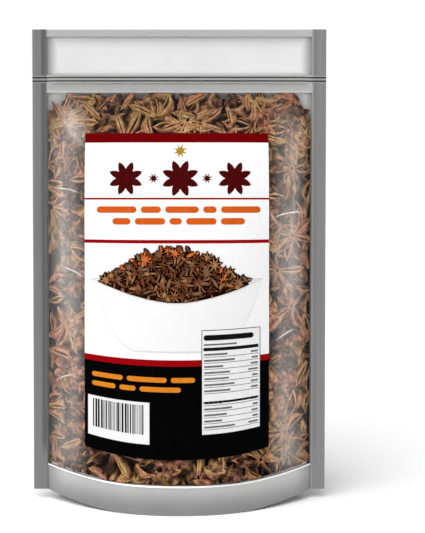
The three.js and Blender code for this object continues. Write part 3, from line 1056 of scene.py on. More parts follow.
def neighbours(points, radii, owner):
    near = radii[:, None] + radii[None, :] + NEIGHBOUR_MARGIN
    square = (points**2).sum(1)
    gap_square = square[:, None] + square[None, :] - 2 * points @ points.T
    return np.nonzero((gap_square < near**2) & (owner[:, None] < owner[None, :]))


def apart_push(points, radii, one, other):
    """How overlapping balls must move to touch, shared out where a ball overlaps many."""
    offset = points[one] - points[other]
    gap = np.linalg.norm(offset, axis=1) + 1e-9
    overlap = np.clip(radii[one] + radii[other] - gap, 0, None)
    move = offset / gap[:, None] * (0.5 * overlap)[:, None]
    touches = (overlap > 0).astype(float)
    both, moves = np.concatenate([one, other]), np.concatenate([move, -move])
    hits = np.bincount(both, np.tile(touches, 2), len(points))
    push = np.stack([np.bincount(both, moves[:, k], len(points)) for k in range(3)], 1)
    return push * (0.8 * np.minimum(hits, 2) / np.maximum(hits, 1))[:, None]


def outward(points):
    """The way in which the pods press: to the front film, to both sides, and up or down from the middle."""
    up = 0.8 * (points[:, 2] - MIDDLE) / MIDDLE
    return np.stack([1.1 * points[:, 0] / HALF_WINDOW, -np.ones(len(points)), up], 1)


def settle(stars, centres, ways):
    counts = np.array([len(s.balls) for s in stars])
    owner = np.repeat(np.arange(len(stars)), counts)
    starts = np.concatenate([[0], np.cumsum(counts)[:-1]])
    local = np.concatenate([s.balls[:, :3] for s in stars])
    radii = np.concatenate([s.balls[:, 3] for s in stars])
    own = np.add.reduceat(local, starts) / counts[:, None]
    centres, ways = np.array(centres), np.array(ways)
    for number in range(ROUNDS):
        points = centres[owner] + np.einsum("nij,nj->ni", ways[owner], local)
        if number % NEW_NEIGHBOURS == 0:
            one, other = neighbours(points, radii, owner)
        points += PULL * (1 - number / ROUNDS) * outward(points)
        moved = points + apart_push(points, radii, one, other)
        moved += inside_push(moved, radii)
        middle = np.add.reduceat(moved, starts) / counts[:, None]
        spread = np.einsum("ni,nj->nij", local - own[owner], moved - middle[owner])
        u, _, vt = np.linalg.svd(np.add.reduceat(spread, starts))
        flip = np.tile(np.eye(3), (len(stars), 1, 1))
        flip[:, 2, 2] = np.sign(np.linalg.det(u @ vt))
        ways = np.transpose(u @ flip @ vt, (0, 2, 1))
        centres = middle - np.einsum("nij,nj->ni", ways, own)
    points = centres[owner] + np.einsum("nij,nj->ni", ways[owner], local)
    return centres, ways, np.linalg.norm(inside_push(points, radii), axis=1)


centres, ways, left_over = settle(stars, centres, ways)
print("stars settled; largest push still wanted by the walls, mm:", round(left_over.max() / MM, 2))

# %% [markdown]
# ## The finish of the husk
# Dried husk is dull and brown. Its outside is grey-brown with painted shade in its wrinkles, the inside is
# smoother and warmer with painted shade deep in the boat, and the split lips are pale tan. The mesh carries
# those zones as a colour attribute, and noise breaks up each of them. A broad noise over all gives one pod a
# rosy cast and the next a straw one, and the depth that each point remembers paints shade into the gaps.
# %% Husk finish
HUSK_CREASE_SHADE = (0.008, 0.004, 0.003)
HUSK_BROWN = (0.10, 0.042, 0.022)
HUSK_PALE = (0.49, 0.268, 0.148)
HUSK_WARM = (0.20, 0.08, 0.03)
HUSK_DARK_TONE = (0.42, 0.36, 0.36)
HUSK_LIGHT_TONE = (1.75, 1.72, 1.7)
HUSK_SHADE = (0.008, 0.003, 0.0016)
HUSK_HOLLOW_SHADE = (0.016, 0.006, 0.003)
HUSK_INSIDE = (0.42, 0.19, 0.07)
LIP_ORANGE = (0.60, 0.30, 0.11)
LIP_TAN = (0.86, 0.62, 0.40)
ROSY_CAST = (1.0, 0.87, 1.02)
STRAW_CAST = (0.98, 1.06, 0.86)


def husk_finish():
    husk = Finish("dry_husk", 0.6, Specular_IOR_Level=0.05)
    zones = husk.add("Attribute", attribute_name="husk")
    rim, inside, tone = husk.add("SeparateColor", {"Color": zones.outputs["Color"]}).outputs
    fold_shade = zones.outputs["Alpha"]
    blotch = husk.noise(300, 4.0, roughness=0.62)
    grain = husk.noise(1300, roughness=0.7)
    patch = husk.maths("MULTIPLY_ADD", blotch, 0.5, husk.maths("MULTIPLY", grain, 0.5))
    # the painted shade of the folds darkens the mottled outside
    fold_shade_and_mottle = husk.maths("MULTIPLY_ADD", fold_shade, -0.5, husk.maths("ADD", patch, 0.24))
    outside = husk.ramp(fold_shade_and_mottle, (0.34, HUSK_CREASE_SHADE), (0.46, HUSK_BROWN), (0.64, HUSK_PALE))
    outside = husk.mix(husk.maths("MULTIPLY", tone, 0.5), outside, HUSK_WARM)
    lightness = husk.ramp(tone, (0.0, HUSK_DARK_TONE), (1.0, HUSK_LIGHT_TONE))
    outside = husk.mix(1.0, outside, lightness, "MULTIPLY")
    # painted shade, deeper towards the keel inside the boat
    hollow = husk.maths("MULTIPLY_ADD", fold_shade, -0.36, husk.maths("ADD", blotch, 0.1))
    base = husk.mix(inside, outside, husk.ramp(hollow, (0.1, HUSK_HOLLOW_SHADE), (0.5, HUSK_INSIDE)))
    lip = husk.ramp(patch, (0.4, HUSK_INSIDE), (0.5, LIP_ORANGE), (0.62, LIP_TAN))
    base = husk.mix(husk.maths("MULTIPLY", rim, husk.span(blotch, 0.3, 0.55, 0.5, 1.0)), base, lip)
    cast = husk.ramp(husk.noise(75, 2.0), (0.42, ROSY_CAST), (0.62, STRAW_CAST))
    # painted shade: darker deep behind the film, near the side seals, under the zip and down at the skirt
    depth = husk.add("Attribute", attribute_name="depth").outputs["Fac"]
    base = husk.mix(1.0, base, cast, "MULTIPLY")
    husk.colour(husk.mix(husk.maths("MULTIPLY", depth, 0.95), base, HUSK_SHADE))
    husk.bump(husk.maths("ADD", grain, husk.maths("MULTIPLY", blotch, 2.0)), 0.5 * MM, 0.7)
    return husk.material


dry_husk = husk_finish()
print("finish:", dry_husk.name, "with", len(dry_husk.node_tree.nodes), "nodes")

# %% [markdown]
# ## The finish of the seeds
# Seeds are hard, smooth and chestnut, the only glossy thing in the bag. A thin coat over a fairly smooth body
# gives that waxed gloss without turning the seeds into plastic.
# %% Seed finish
SEED_DARK = (0.16, 0.04, 0.008)
SEED_LIGHT = (0.34, 0.11, 0.025)


def seed_finish():
    seed = Finish("seed", 0.2, Specular_IOR_Level=0.6, Coat_Weight=0.4, Coat_Roughness=0.1)
    seed.colour(seed.ramp(seed.noise(300, 2.0), (0.3, SEED_DARK), (0.7, SEED_LIGHT)))
    return seed.material


glossy_seed = seed_finish()
print("finish:", glossy_seed.name)

# %% [markdown]
# ## The pods as pieces
# All stars of one kind are joined into one mesh, which renders and exports far better than a hundred objects.
# Points that still touch the film are laid against its inside, as a real film presses on brittle tips. Each
# point also remembers how deep it lies behind the film, so that the finish can paint shade on the deeper
# pods.
# %% Pods inside the film
# Painted shade: pods get darker deep behind the film, near the side seals, under the zip and down at the
# skirt.
SHADE_DEPTHS = (1.4 * MM, 6.5 * MM)     # how deep behind the film the shade starts and is full
SIDE_SHADE = 0.5
ZIP_SHADE = 0.37
SKIRT_SHADE = 0.1
SKIRT_STEEPNESS = 0.7                   # how much faster the shade deepens down at the skirt
SIDE_GAP = 0.5 * MM                     # room that a tip keeps to each wall
GUSSET_GAP = 0.4 * MM
TOP_GAP = 1.2 * MM
FILM_GAP = 0.35 * MM
FITTING_ROUNDS = 3
GROUPS = 4
GROUPS_ROUND = 0.11                     # height of the point that the groups lie round


def behind_film(points):
    x, y, z = points.T
    x = np.clip(x, -HALF_WINDOW + SIDE_GAP, HALF_WINDOW - SIDE_GAP)
    z = np.clip(z, gusset_under(x, y) + GUSSET_GAP, FILL_TOP - TOP_GAP)
    for side in (FRONT, BACK) * FITTING_ROUNDS:
        h = lowered(x, z)
        depth = film_depth(x, h, side) - film_dent(x, h, side) - FILM_SHEET - FILM_GAP
        slope_x = (film_depth(x + STEP, h, side) - film_depth(x, h, side)) / STEP
        size = np.sqrt(1 + slope_x**2)
        short = np.clip((side * y - depth) / size, 0, None)
        x = x + slope_x / size * short
        y = y - side * short / size
    return np.stack([x, y, z], 1)


def shade_of(points):
    """0 on top, 1 in the deep, and some shade at the sides, under the zip and down at the skirt."""
    x, y, z = points.T
    at_sides = SIDE_SHADE * smooth_step(HALF_WINDOW - 7 * MM, HALF_WINDOW - 1 * MM, np.abs(x))
    under_zip = ZIP_SHADE * smooth_step(FILL_TOP - 26 * MM, FILL_TOP - 10 * MM, z)
    over_skirt = smooth_step(36 * MM, 27 * MM, z)
    depth = smooth_step(*SHADE_DEPTHS, (y + film_depth(x, z, FRONT)) * (1 + SKIRT_STEEPNESS * over_skirt))
    return np.maximum(depth, 1 - (1 - at_sides) * (1 - under_zip) * (1 - SKIRT_SHADE * over_skirt))


def joined_stars(name, chosen):
    points, quads, fans, colours, quad_seed, fan_seed, start = [], [], [], [], [], [], 0
    for k in chosen:
        for local, part_quads, part_fans, zones, is_seed in stars[k].parts:
            points.append(centres[k] + local @ ways[k].T)
            quads.append(part_quads + start)
            fans.append(part_fans + start)
            colours.append(zones)
            quad_seed += [int(is_seed)] * len(part_quads)
            fan_seed += [int(is_seed)] * len(part_fans)
            start += len(local)
    points = behind_film(np.concatenate(points))
    # the depth attribute holds the painted shade of each point
    zones = {"husk": np.concatenate(colours), "depth": np.stack([shade_of(points)] * 4, 1)}
    faces = [np.concatenate(quads), np.concatenate(fans)]
    piece = mesh_piece(name, points, faces, quad_seed + fan_seed, [dry_husk, glossy_seed], 180, zones)
    print(name, "triangles:", 2 * len(quad_seed) + len(fan_seed))
    place(piece, "star_anise")


around = sorted(range(whole), key=lambda k: math.atan2(centres[k][2] - GROUPS_ROUND, centres[k][0]))
for number in range(GROUPS):
    group = around[number * whole // GROUPS:(number + 1) * whole // GROUPS]
    joined_stars(f"star_pods_{number + 1}", group)
joined_stars("broken_pods", range(whole, len(stars)))

# %% [markdown]
# ## The core
# Behind the two settled layers nobody can see single pods, only dark gaps. A lumpy, near-black core fills the
# pouch there as painted shade, standing for the shaded pods deeper in, so no light leaks through from the
# silver back film.
# %% The core
CORE_INSET = 15 * MM
CORE_SHARE = 0.6            # of the room between the films, where the inset would be more
CORE_LUMPS = 3.5 * MM
LUMP_FINENESS = 1.7         # how many times finer they are than the dents in the film
CORE_TOP_GAP = 4.5 * MM     # below the top of the pods
CORE_BACK_GAP = 2.2 * MM
CORE_THINNEST = 0.3 * MM
# near-black tones of the painted shade
CORE_DARK = (0.002, 0.0014, 0.001)
CORE_LIGHT = (0.010, 0.005, 0.003)


def core_shade_finish():
    core = Finish("core_painted_shade", 0.9, Specular_IOR_Level=0.0)
    core.colour(core.ramp(core.noise(160, 4.0), (0.35, CORE_DARK), (0.7, CORE_LIGHT)))
    core.bump(core.noise(220, 4.0), 1.2 * MM, 0.8)
    return core.material


def core_sheet(name, material):
    columns = np.linspace(-HALF_WINDOW + 0.6 * MM, HALF_WINDOW - 0.6 * MM, 75)
    x, share = np.meshgrid(columns, np.linspace(0, 1, 110))
    h = SKIRT_HEIGHT + 0.3 * MM + share * (heaped_top(x) - CORE_TOP_GAP - SKIRT_HEIGHT)
    front, back = film_depth(x, h, FRONT), film_depth(x, h, BACK)
    room = front + back
    bumps = soft_bumps(x * LUMP_FINENESS, h * LUMP_FINENESS) - 0.5
    lumps = CORE_LUMPS * bumps * np.clip(room / (30 * MM), 0, 1)
    front_y = -front + np.minimum(CORE_INSET, CORE_SHARE * room) + lumps
    back_y = np.maximum(back - CORE_BACK_GAP, front_y + CORE_THINNEST)
    z = film_height(x, h)
    return closed_sheet(name, np.stack([x, front_y, z], -1), np.stack([x, back_y, z], -1), material)


place(core_sheet("pod_core_shade", core_shade_finish()), "star_anise")

# %% [markdown]
# ## The label sheet
# The label is paper stuck on the front film, so it takes the film's curve, and its straight lower edge looks
# bowed because the belly carries it forward. A point on it is named in millimetres of flat paper: s across
# from its centre line and t up from its lower edge. Everything printed is drawn in the same two numbers.
# %% The label sheet
LABEL_HEIGHT = LABEL_TOP - LABEL_BOTTOM
HALF_PAPER = LABEL_WIDTH / 2 / MM
PAPER_TOP = LABEL_HEIGHT / MM
LABEL_SAG = 3 * MM          # how far the lower edge hangs in the middle
LABEL_SAG_FADE = 0.6        # share of the height at which the sag has faded
PAPER_BACK = 0.12 * MM
PAPER_FACE = 0.45 * MM
INK_STEP = 0.04 * MM        # each printed layer lies this much above the one below
INK_THICKNESS = 0.9         # of one step


def on_label(s, t, layer=0.0):
    """Points of the label's face, or of an ink layer on it, from paper millimetres."""
    a = s * MM / (LABEL_WIDTH / 2)
    b = t * MM / LABEL_HEIGHT
    sag = LABEL_SAG * np.clip(1 - b / LABEL_SAG_FADE, 0, 1) * (1 - a * a)
    return film(LABEL_CENTRE_X + s * MM, LABEL_BOTTOM + t * MM - sag, FRONT, PAPER_FACE + layer * INK_STEP)


def printed(name, dark, light, scale=400, roughness=0.4):
    """Printed paper: two close tones of one ink, mixed by a fine noise."""
    ink = Finish(name, roughness, Specular_IOR_Level=0.004)
    ink.colour(ink.ramp(ink.noise(scale), (0.3, dark), (0.7, light)))
    ink.bump(ink.noise(1800, 2.0), 0.03 * MM, 0.3)
    return ink.material


s, t = np.meshgrid(np.linspace(-HALF_PAPER, HALF_PAPER, 65), np.linspace(0, PAPER_TOP, 105))
paper_back = on_label(s, t, (PAPER_BACK - PAPER_FACE) / INK_STEP)
label_paper = printed("label_paper", grey(0.74), grey(0.78))
place(closed_sheet("label_sheet", on_label(s, t), paper_back, label_paper), "label_print", "label")
print("paper, mm:", round(2 * HALF_PAPER, 1), "by", round(PAPER_TOP, 1))

# %% [markdown]
# ## Printing on the label
# A picture wrapped on the label would be quickest, but then the print is a file and blurs close up. Each
# field of ink is a very thin closed sheet on the paper instead, so edges stay sharp at any distance. Two
# kinds are enough: a band between two curves, and a small outline such as a star.
# %% Print helpers
COLUMN_STEP = 1.6           # mm of paper, about, between two columns of points, and between two rows
ROW_STEP = 2.5


class Print:
    """Collects thin shapes that are printed in one layer, and makes them one piece."""

    def __init__(self, name, layer, inks):
        self.name, self.layer, self.inks = name, layer, inks
        self.points, self.start = [], 0
        self.faces, self.looks = {3: [], 4: []}, {3: [], 4: []}     # by the number of a face's corners

    def keep(self, points, faces, ink):
        self.points.append(points)
        for part in faces:
            corners = part.shape[1]
            self.faces[corners].append(part + self.start)
            self.looks[corners] += [ink] * len(part)
        self.start += len(points)

    def band(self, left, right, bottom, top, ink=0):
        """Fills from the curve bottom to the curve top, which are numbers or functions of s."""
        s = np.linspace(left, right, max(2, int(abs(right - left) / COLUMN_STEP) + 2))
        low, high = (edge(s) if callable(edge) else np.full(len(s), float(edge)) for edge in (bottom, top))
        self.fill(s, low, high, ink)

    def fill(self, s, low, high, ink):
        rows = max(2, int(np.max(high - low) / ROW_STEP) + 2)
        t = low + (high - low) * np.linspace(0, 1, rows)[:, None]
        s = np.broadcast_to(s, t.shape)
        sheets = [on_label(s, t, self.layer), on_label(s, t, self.layer - INK_THICKNESS)]
        points = np.concatenate([sheet.reshape(-1, 3) for sheet in sheets])
        self.keep(points, [sheet_faces(rows, s.shape[1])], ink)

    def outline(self, s, t, ink=0):
        """Fills a star-shaped outline, given anticlockwise round its middle."""
        s, t = np.append(s, np.mean(s)), np.append(t, np.mean(t))
        count = len(s) - 1
        ring = np.arange(count)
        after = np.roll(ring, -1)
        middle = np.full(count, count)
        under = count + 1
        fans = [np.stack([middle, ring, after], 1), np.stack([middle, after, ring], 1) + under]
        rim = np.stack([ring, ring + under, after + under, after], 1)
        points = np.concatenate([on_label(s, t, self.layer), on_label(s, t, self.layer - INK_THICKNESS)])
        self.keep(points, [*fans, rim], ink)

    def pill(self, left, right, bottom, top, ink=0):
        """A bar with round ends, standing for a printed word."""
        radius = (top - bottom) / 2
        ends = radius * (1 - np.cos(np.linspace(0.15, math.pi / 2, 6)))
        count = max(2, int((right - left) / COLUMN_STEP))
        straight = np.linspace(left + radius, right - radius, count)[1:-1]
        s = np.concatenate([left + ends, straight, right - ends[::-1]])
        inset = np.clip(np.minimum(s - left, right - s) / radius, 0, 1)
        reach = radius * np.sqrt(1 - (1 - inset) ** 2)
        self.fill(s, (top + bottom) / 2 - reach, (top + bottom) / 2 + reach, ink)

    def make(self):
        faces = [np.concatenate(parts) for parts in self.faces.values() if parts]
        looks = self.looks[3] + self.looks[4]
        piece = mesh_piece(self.name, np.concatenate(self.points), faces, looks, self.inks)
        place(piece, "label_print")


def star_outline(s, t, radius, waist, turned, points=8):
    angle = turned + np.arange(2 * points) * math.pi / points
    reach = np.where(np.arange(2 * points) % 2, radius * waist, radius)
    return s + reach * np.cos(angle), t + reach * np.sin(angle)


def leaf_outline(s, t, length, width, turned):
    """A pointed leaf, or one carpel seen from above."""
    share = np.array([0, 0.12, 0.3, 0.5, 0.7, 0.88, 1, 0.88, 0.7, 0.5, 0.3, 0.12])
    side = np.array([0, -1, -1, -1, -1, -1, 0, 1, 1, 1, 1, 1])
    along, across = length * share, 0.5 * width * side * np.sin(math.pi * share) ** 0.7
    c, sn = math.cos(turned), math.sin(turned)
    return s + along * c - across * sn, t + along * sn + across * c


sample_outlines = star_outline(0, 0, 1, 0.4, 0), leaf_outline(0, 0, 1, 1, 0)
print("a star and a leaf have points:", [len(s) for s, _ in sample_outlines])

# %% [markdown]
# ## Bands, rules and the black panel
# The label is ruled into fields: a dark red band along the top, two thin red rules, a red band above a black
# lower panel.
# %% Colour fields
MAROON_BAND = 153.8
UPPER_RULE = (125.0, 125.9)
LOWER_RULE = (103.3, 105.0)
RED_BAND = (44.7, 47.7)
MAROON, RED, BLACK = range(3)

ink_maroon = printed("ink_maroon", (0.115, 0.0, 0.001), (0.13, 0.001, 0.002))
ink_red = printed("ink_red", (0.24, 0.001, 0.003), (0.27, 0.002, 0.004))
ink_black = printed("ink_black", grey(0.0008), grey(0.0016), roughness=0.42)
fields = Print("label_fields", 1, [ink_maroon, ink_red, ink_black])
fields.band(-HALF_PAPER, HALF_PAPER, MAROON_BAND, PAPER_TOP, MAROON)
for rule in (UPPER_RULE, LOWER_RULE, RED_BAND):
    fields.band(-HALF_PAPER, HALF_PAPER, *rule, RED)
fields.band(-HALF_PAPER, HALF_PAPER, 0, RED_BAND[0], BLACK)
fields.make()

# %% [markdown]
# ## Plain shapes in place of wording
# The pouch is generic, so nothing on it can be read. A row of dark stars with pointed petals fills the place
# of a title, with a small gold star over it, and lines of wording become plain orange bars of about the same
# size.
# %% Title stars, lines of wording and the gold star
TITLE_LINE = 135.6
TITLE_STARS = ((-25.5, 8.8), (1.8, 9.6), (29.1, 8.8))        # middle and radius
SMALL_STARS = (-11.6, 15.2)
GOLD_STAR = (1.8, 149.5)
PETAL_WIDTH = 0.42           # share of a petal's length
SMALL_RADIUS, SMALL_WAIST = 2.8, 0.4
GOLD_RADIUS, GOLD_WAIST = 3.6, 0.42
POINT_UP = math.pi / 8
TITLE, ORANGE, AMBER, GOLD = range(4)
WORD_ROWS = (                # left, right, bottom and top of a row, shares of its words, gap and ink
    (-40, 42, 118.4, 121.6, (6, 3, 5, 2, 6), 2.2, ORANGE),
    (-32, 34, 112.6, 115.8, (3, 5, 2, 5, 4), 2.2, ORANGE),
    (-42.5, 9, 37.0, 39.4, (4, 5, 3), 2.0, AMBER),
    (-42.5, 2, 32.4, 34.8, (3, 2, 5), 2.0, AMBER),
)

ink_title = printed("ink_title", (0.045, 0.002, 0.002), (0.06, 0.003, 0.003))
ink_orange = printed("ink_orange", (0.50, 0.075, 0.008), (0.56, 0.095, 0.012))
ink_amber = printed("ink_amber", (0.55, 0.17, 0.012), (0.60, 0.20, 0.018))
ink_gold = printed("ink_gold", (0.30, 0.16, 0.008), (0.40, 0.25, 0.02))
wording = Print("label_wording", 2, [ink_title, ink_orange, ink_amber, ink_gold])
for s, radius in TITLE_STARS:
    for petal in range(8):
        leaf = leaf_outline(s, TITLE_LINE, radius, PETAL_WIDTH * radius, (petal + 0.5) * math.pi / 4)
        wording.outline(*leaf, TITLE)
for s in SMALL_STARS:
    wording.outline(*star_outline(s, TITLE_LINE, SMALL_RADIUS, SMALL_WAIST, POINT_UP), TITLE)
for left, right, bottom, top, words, gap, ink in WORD_ROWS:
    room = right - left - gap * (len(words) - 1)
    for word in words:
        width = room * word / sum(words)
        wording.pill(left, left + width, bottom, top, ink)
        left += width + gap
wording.outline(*star_outline(*GOLD_STAR, GOLD_RADIUS, GOLD_WAIST, POINT_UP), GOLD)
wording.make()

# %% [markdown]
# ## The picture of a bowl
# The middle of the label shows a white bowl. As print it is flat shapes in near-white greys: the wall, the
# inside that shows behind the rim, and thin darker lines along the rim and under the belly. Each edge is a
# curve of s, so the shapes share their edges exactly.
# %% The bowl
BOWL_HALF = 43.3
BOWL_FOOT = 19.0
BOWL_RIM = 85.6
BOWL_BASE = 51.2
RIM_DIP = 11.0
BACK_RIM_RISE = 1.2


def bowl_rim(s):
    """The front edge of the rim: a long shallow curve, lowest in the middle."""
    return BOWL_RIM - RIM_DIP * (1 - np.abs(s / BOWL_HALF) ** 1.7)


def back_rim(s):
    return BOWL_RIM + BACK_RIM_RISE - BACK_RIM_RISE * (s / BOWL_HALF) ** 2


def bowl_wall(s):
    """The lower edge of the bowl."""
    out = np.clip((np.abs(s) - BOWL_FOOT) / (BOWL_HALF - BOWL_FOOT), 0, 1)
    return np.minimum(BOWL_BASE + (BOWL_RIM - BOWL_BASE) * out**2.1, bowl_rim(s))


def shade_edge(s):
    """The upper edge of the shading that follows the lower side of the bowl."""
    return np.minimum(bowl_wall(s) + 0.7 * np.sqrt(np.clip(1 - (s / BOWL_HALF) ** 2, 0, 1)), bowl_rim(s))


bowl_white = printed("ink_bowl", grey(0.70), grey(0.73), scale=60)
bowl_inside = printed("ink_bowl_inside", grey(0.62), grey(0.66), scale=60)
bowl_shade = printed("ink_bowl_shade", grey(0.55), grey(0.6), scale=60)
bowl = Print("label_bowl", 2, [bowl_white, bowl_inside])
bowl.band(-BOWL_HALF, BOWL_HALF, bowl_wall, bowl_rim, 0)
bowl.band(-BOWL_HALF, BOWL_HALF, bowl_rim, back_rim, 1)
bowl.make()
bowl_lines = Print("label_bowl_shading", 3, [bowl_shade])
bowl_lines.band(-BOWL_HALF, BOWL_HALF, bowl_wall, shade_edge)
bowl_lines.band(-BOWL_HALF + 0.3, BOWL_HALF - 0.3, lambda s: bowl_rim(s) - 0.25, lambda s: bowl_rim(s) + 0.25)
bowl_lines.band(-BOWL_HALF, BOWL_HALF, lambda s: back_rim(s) - 0.35, back_rim)
bowl_lines.make()

# %% [markdown]
# ## The heap in the bowl
# The bowl is heaped with spice. A plain brown field fills the heap's outline, and four layers of small leaves
# and stars lie on it, each motif on a slightly larger dark one that parts it from what is below, as a shadow
# would. Their places, turns and tones are drawn at random with a fixed seed, with a few red ones along the
# ridge.
# %% The heap
HEAP_HALF = 39.0
HEAP_TOP = 100.4
HEAP_MIDDLE = -2
HEAP_BASE = BOWL_RIM - 3.0
HEAP_LAYERS = 4
MOTIFS_IN_A_LAYER = 115
SHADOW_REACH = 0.4
STAR_SHARE = 0.2            # of the motifs; the others are leaves
STAR_RADII = (2.4, 4.2)
LEAF_LENGTHS = (2.6, 6.0)
LEAF_WIDTHS = (0.7, 1.7)
RIDGE = 3.2                 # how far below the heap's edge a red motif may lie
RED_SHARE = 0.4             # of the motifs there
TONE_SHARES = (0.5, 0.27, 0.23)
DARK, BROWN, ASH, TAN, RUST = range(5)


def heap_line(s):
    share = np.clip(np.abs(s - HEAP_MIDDLE) / HEAP_HALF, 0, 1)
    return HEAP_BASE + (HEAP_TOP - HEAP_BASE) * (1 - share**1.55)


def over_heap(s):
    """The upper edge of the plain field, which never falls below the bowl's rim."""
    return np.maximum(heap_line(s), bowl_rim(s) + 0.2)


def behind_rim(s, t):
    """An outline whose lower end is hidden by the bowl's rim, and whose upper end stays under the rule."""
    return s, np.clip(t, bowl_rim(s) + 0.15, LOWER_RULE[0] - 0.8)


def add_motif(s, t, tone):
    turned = heap_draw.uniform(0, 2 * math.pi)
    if heap_draw.random() < STAR_SHARE:
        radius = heap_draw.uniform(*STAR_RADII)
        shadow = star_outline(s, t, radius + SHADOW_REACH, 0.6, turned)
        motif = star_outline(s, t, radius, 0.28, turned)
    else:
        length, width = heap_draw.uniform(*LEAF_LENGTHS), heap_draw.uniform(*LEAF_WIDTHS)
        shadow = leaf_outline(s, t, length, width + 1.5, turned)
        motif = leaf_outline(s, t, length, width, turned)
    shadows.outline(*behind_rim(*shadow), DARK)
    motifs.outline(*behind_rim(*motif), tone)


heap_tones = [
    printed("ink_heap_dark", (0.005, 0.001, 0.0005), (0.014, 0.003, 0.0015)),
    printed("ink_heap_brown", (0.075, 0.022, 0.008), (0.15, 0.055, 0.022)),
    printed("ink_heap_grey", (0.13, 0.06, 0.032), (0.19, 0.10, 0.055)),
    printed("ink_heap_tan", (0.24, 0.11, 0.045), (0.34, 0.17, 0.07)),
    printed("ink_heap_red", (0.26, 0.03, 0.006), (0.66, 0.17, 0.04)),
]
heap = Print("label_heap", 4, heap_tones)
heap.band(-HEAP_HALF - 1, HEAP_HALF - 3, lambda s: bowl_rim(s) + 0.15, over_heap, DARK)
heap.make()

heap_draw = np.random.default_rng(8)
for number in range(1, HEAP_LAYERS + 1):
    shadows = Print(f"label_heap_shadows_{number}", 3 + 2 * number, heap_tones)
    motifs = Print(f"label_heap_motifs_{number}", 4 + 2 * number, heap_tones)
    made = 0
    while made < MOTIFS_IN_A_LAYER:
        s, t = heap_draw.uniform(-HEAP_HALF - 1, HEAP_HALF - 3), heap_draw.uniform(bowl_rim(0), HEAP_TOP)
        low, high = bowl_rim(s) + 1.6, heap_line(s) + 0.6
        if low < t < high:
            near_edge = high - t < RIDGE and abs(s) < 0.8 * HEAP_HALF
            on_ridge = near_edge and heap_draw.random() < RED_SHARE
            tone = RUST if on_ridge else int(heap_draw.choice([BROWN, ASH, TAN], p=TONE_SHARES))
            add_motif(s, t, tone)
            made += 1
    shadows.make()
    motifs.make()

# %% [markdown]
# ## Two panels and a bar code
# A block of bars and a ruled table are on every food pack. Both are generic: the bars are random and the
# table's lines of text are grey bars. Each stands on a white panel.
# %% The two panels and the bar code
CODE = (-44.6, -13.4, 7.0, 27.2)        # left, right, bottom and top
TABLE = (12.2, 41.8, 11.6, 61.8)
BAR_WIDTHS = (0.32, 0.32, 0.62, 0.95)
BAR_GAPS = (0.34, 0.34, 0.64)
LINE, TEXT = range(2)

panels = Print("label_panels", 4, [printed("ink_panel", grey(0.68), grey(0.72))])
panels.band(*CODE)
panels.band(*TABLE)
panels.make()

ink_line = printed("ink_line", grey(0.004), grey(0.008))
ink_text = printed("ink_text", grey(0.10), grey(0.16))
marks = Print("label_marks", 5, [ink_line, ink_text])
bar_draw = np.random.default_rng(4)
left, right, bottom, top = CODE
at = left + 2.6
while at < right - 3.0:
    bar = bar_draw.choice(BAR_WIDTHS)
    marks.band(at, at + bar, bottom + 4.6, top - 1.4, LINE)
    at += bar + bar_draw.choice(BAR_GAPS)
print("the bar code ends at, mm:", round(at, 1))

# %% [markdown]
# ## The ruled table
# The table has a border, a heading bar, two thick rules and rows that repeat every few millimetres: a thin
# line and, over it, a bar at each end for the words and the number. A loop makes the rows from the top down.
# %% The ruled table
BORDER = 0.3
ROW_PITCH = 2.9
left, right, bottom, top = TABLE
marks.pill(left + 1, right - 3.5, top - 5.0, top - 2.4, LINE)
marks.pill(left + 1, right - 12, top - 7.4, top - 6.6, TEXT)
marks.band(left + 1, right - 1, top - 10.0, top - 8.4, LINE)
marks.band(left + 1, right - 1, bottom + 15.0, bottom + 16.1, LINE)
marks.band(left, right, bottom, bottom + BORDER, LINE)
marks.band(left, right, top - BORDER, top, LINE)
marks.band(left, left + BORDER, bottom, top, LINE)
marks.band(right - BORDER, right, bottom, top, LINE)
line = top - 13.0
while line > bottom + 2.4:
    if not bottom + 14.2 < line < bottom + 17.4:
        words, number = bar_draw.uniform(9, 17), bar_draw.uniform(3.5, 6.5)
        marks.band(left + 1, right - 1, line, line + 0.22, LINE)
        marks.pill(left + 1.2, left + words, line + 0.85, line + 1.75, TEXT)
        marks.pill(right - number, right - 1.2, line + 0.85, line + 1.75, TEXT)
    line -= ROW_PITCH
marks.make()

# %% [markdown]
# ## The sheet it stands on
# The pouch stands on a plain pale sheet, large enough to reach past the picture, so that its soft shadow is
# all that shows of the table.
# %% The sheet it stands on
SHEET_HALF = 6.0


def floor_finish():
    paper = Finish("table_paper", 0.7, Specular_IOR_Level=0.0)
    paper.colour(paper.ramp(paper.noise(3, 2.0), (0.3, grey(0.955)), (0.7, grey(0.97))))
    return paper.material


corners = [(SHEET_HALF * x, SHEET_HALF * y, 0) for x, y in ((-1, -1), (1, -1), (1, 1), (-1, 1))]
floor_data = bpy.data.meshes.new("table")
floor_data.from_pydata(corners, [], [(0, 1, 2, 3)])
floor_data.materials.append(floor_finish())
floor = bpy.data.objects.new("table", floor_data)
bpy.context.collection.objects.link(floor)
floor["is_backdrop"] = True
print("the sheet is", 2 * SHEET_HALF, "m wide")

# %% [markdown]
# ## The light
# The light is soft. One broad lamp high on the upper left is the key. A tall softbox on each side makes the
# pale reflections down the silver and the seals, and two weak ones further round lift the label and the
# header. The world is white where the camera sees it and dimmed as a light, so that the silver film does not
# burn out.
# %% Lamps
KEY_FROM = (-0.31, -0.53, 0.79)
KEY_STRENGTH = 3.0
KEY_SPREAD = 1.1            # radians: the wider, the softer its shadows


def add_light(name, data, place_at, aim_at):
    light = bpy.data.objects.new(name, data)
    light.location = place_at
    light.rotation_euler = (Vector(aim_at) - Vector(place_at)).to_track_quat("-Z", "Y").to_euler()
    bpy.context.collection.objects.link(light)


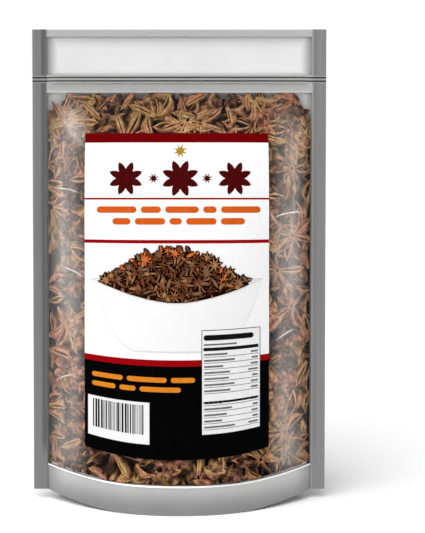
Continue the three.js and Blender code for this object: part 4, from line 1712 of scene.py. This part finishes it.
def softbox(name, place_at, aim_at, width, height, power):
    data = bpy.data.lights.new(name, "AREA")
    data.shape = "RECTANGLE"
    data.size, data.size_y = width, height
    data.energy = power
    add_light(name, data, place_at, aim_at)


softbox("left_strip", (-0.88, -0.14, 0.3), (-0.04, -0.02, 0.13), width=0.14, height=1.2, power=1.0)
softbox("right_strip", (0.88, -0.14, 0.3), (0.04, -0.02, 0.13), width=0.14, height=1.2, power=0.8)
softbox("left_front", (-0.78, -0.42, 0.2), (-0.06, -0.02, 0.12), width=0.3, height=0.5, power=0.3)
softbox("right_front", (0.78, -0.42, 0.2), (0.06, -0.02, 0.12), width=0.3, height=0.5, power=0.6)
key = bpy.data.lights.new("key", "SUN")
key.energy = KEY_STRENGTH
key.angle = KEY_SPREAD
add_light("key", key, KEY_FROM, (0, 0, 0))

# %% [markdown]
# ## The world
# A Light Path node tells what the camera sees from what lights the pouch, so one white world can be bright as
# a background and weak as a lamp. The Standard view transform keeps white paper white.
# %% World
WORLD_SEEN = 1.0
WORLD_AS_LIGHT = 0.34

world = bpy.data.worlds.new("studio")
bpy.context.scene.world = world
world.use_nodes = True
sky = world.node_tree.nodes
wires = world.node_tree.links
ray = sky.new("ShaderNodeLightPath")
strength = sky.new("ShaderNodeMapRange")
strength.inputs["To Min"].default_value = WORLD_AS_LIGHT
strength.inputs["To Max"].default_value = WORLD_SEEN
sky["Background"].inputs["Color"].default_value = (1, 1, 1, 1)
wires.new(ray.outputs["Is Camera Ray"], strength.inputs["Value"])
wires.new(strength.outputs["Result"], sky["Background"].inputs["Strength"])
bpy.context.scene.view_settings.view_transform = "Standard"
print("world:", WORLD_SEEN, "as seen and", WORLD_AS_LIGHT, "as a light")

# %% [markdown]
# ## Measure and finish
# The box of the solid model and the box of the dressed model are kept side by side, because dressing a part
# must not change its size.
# %% Measure and finish
sizes = {"cad": [list(corner) for corner in cad_box], "visual": [list(corner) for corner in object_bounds()]}
print("size, mm:", {k: [[round(c / MM, 1) for c in corner] for corner in v] for k, v in sizes.items()})
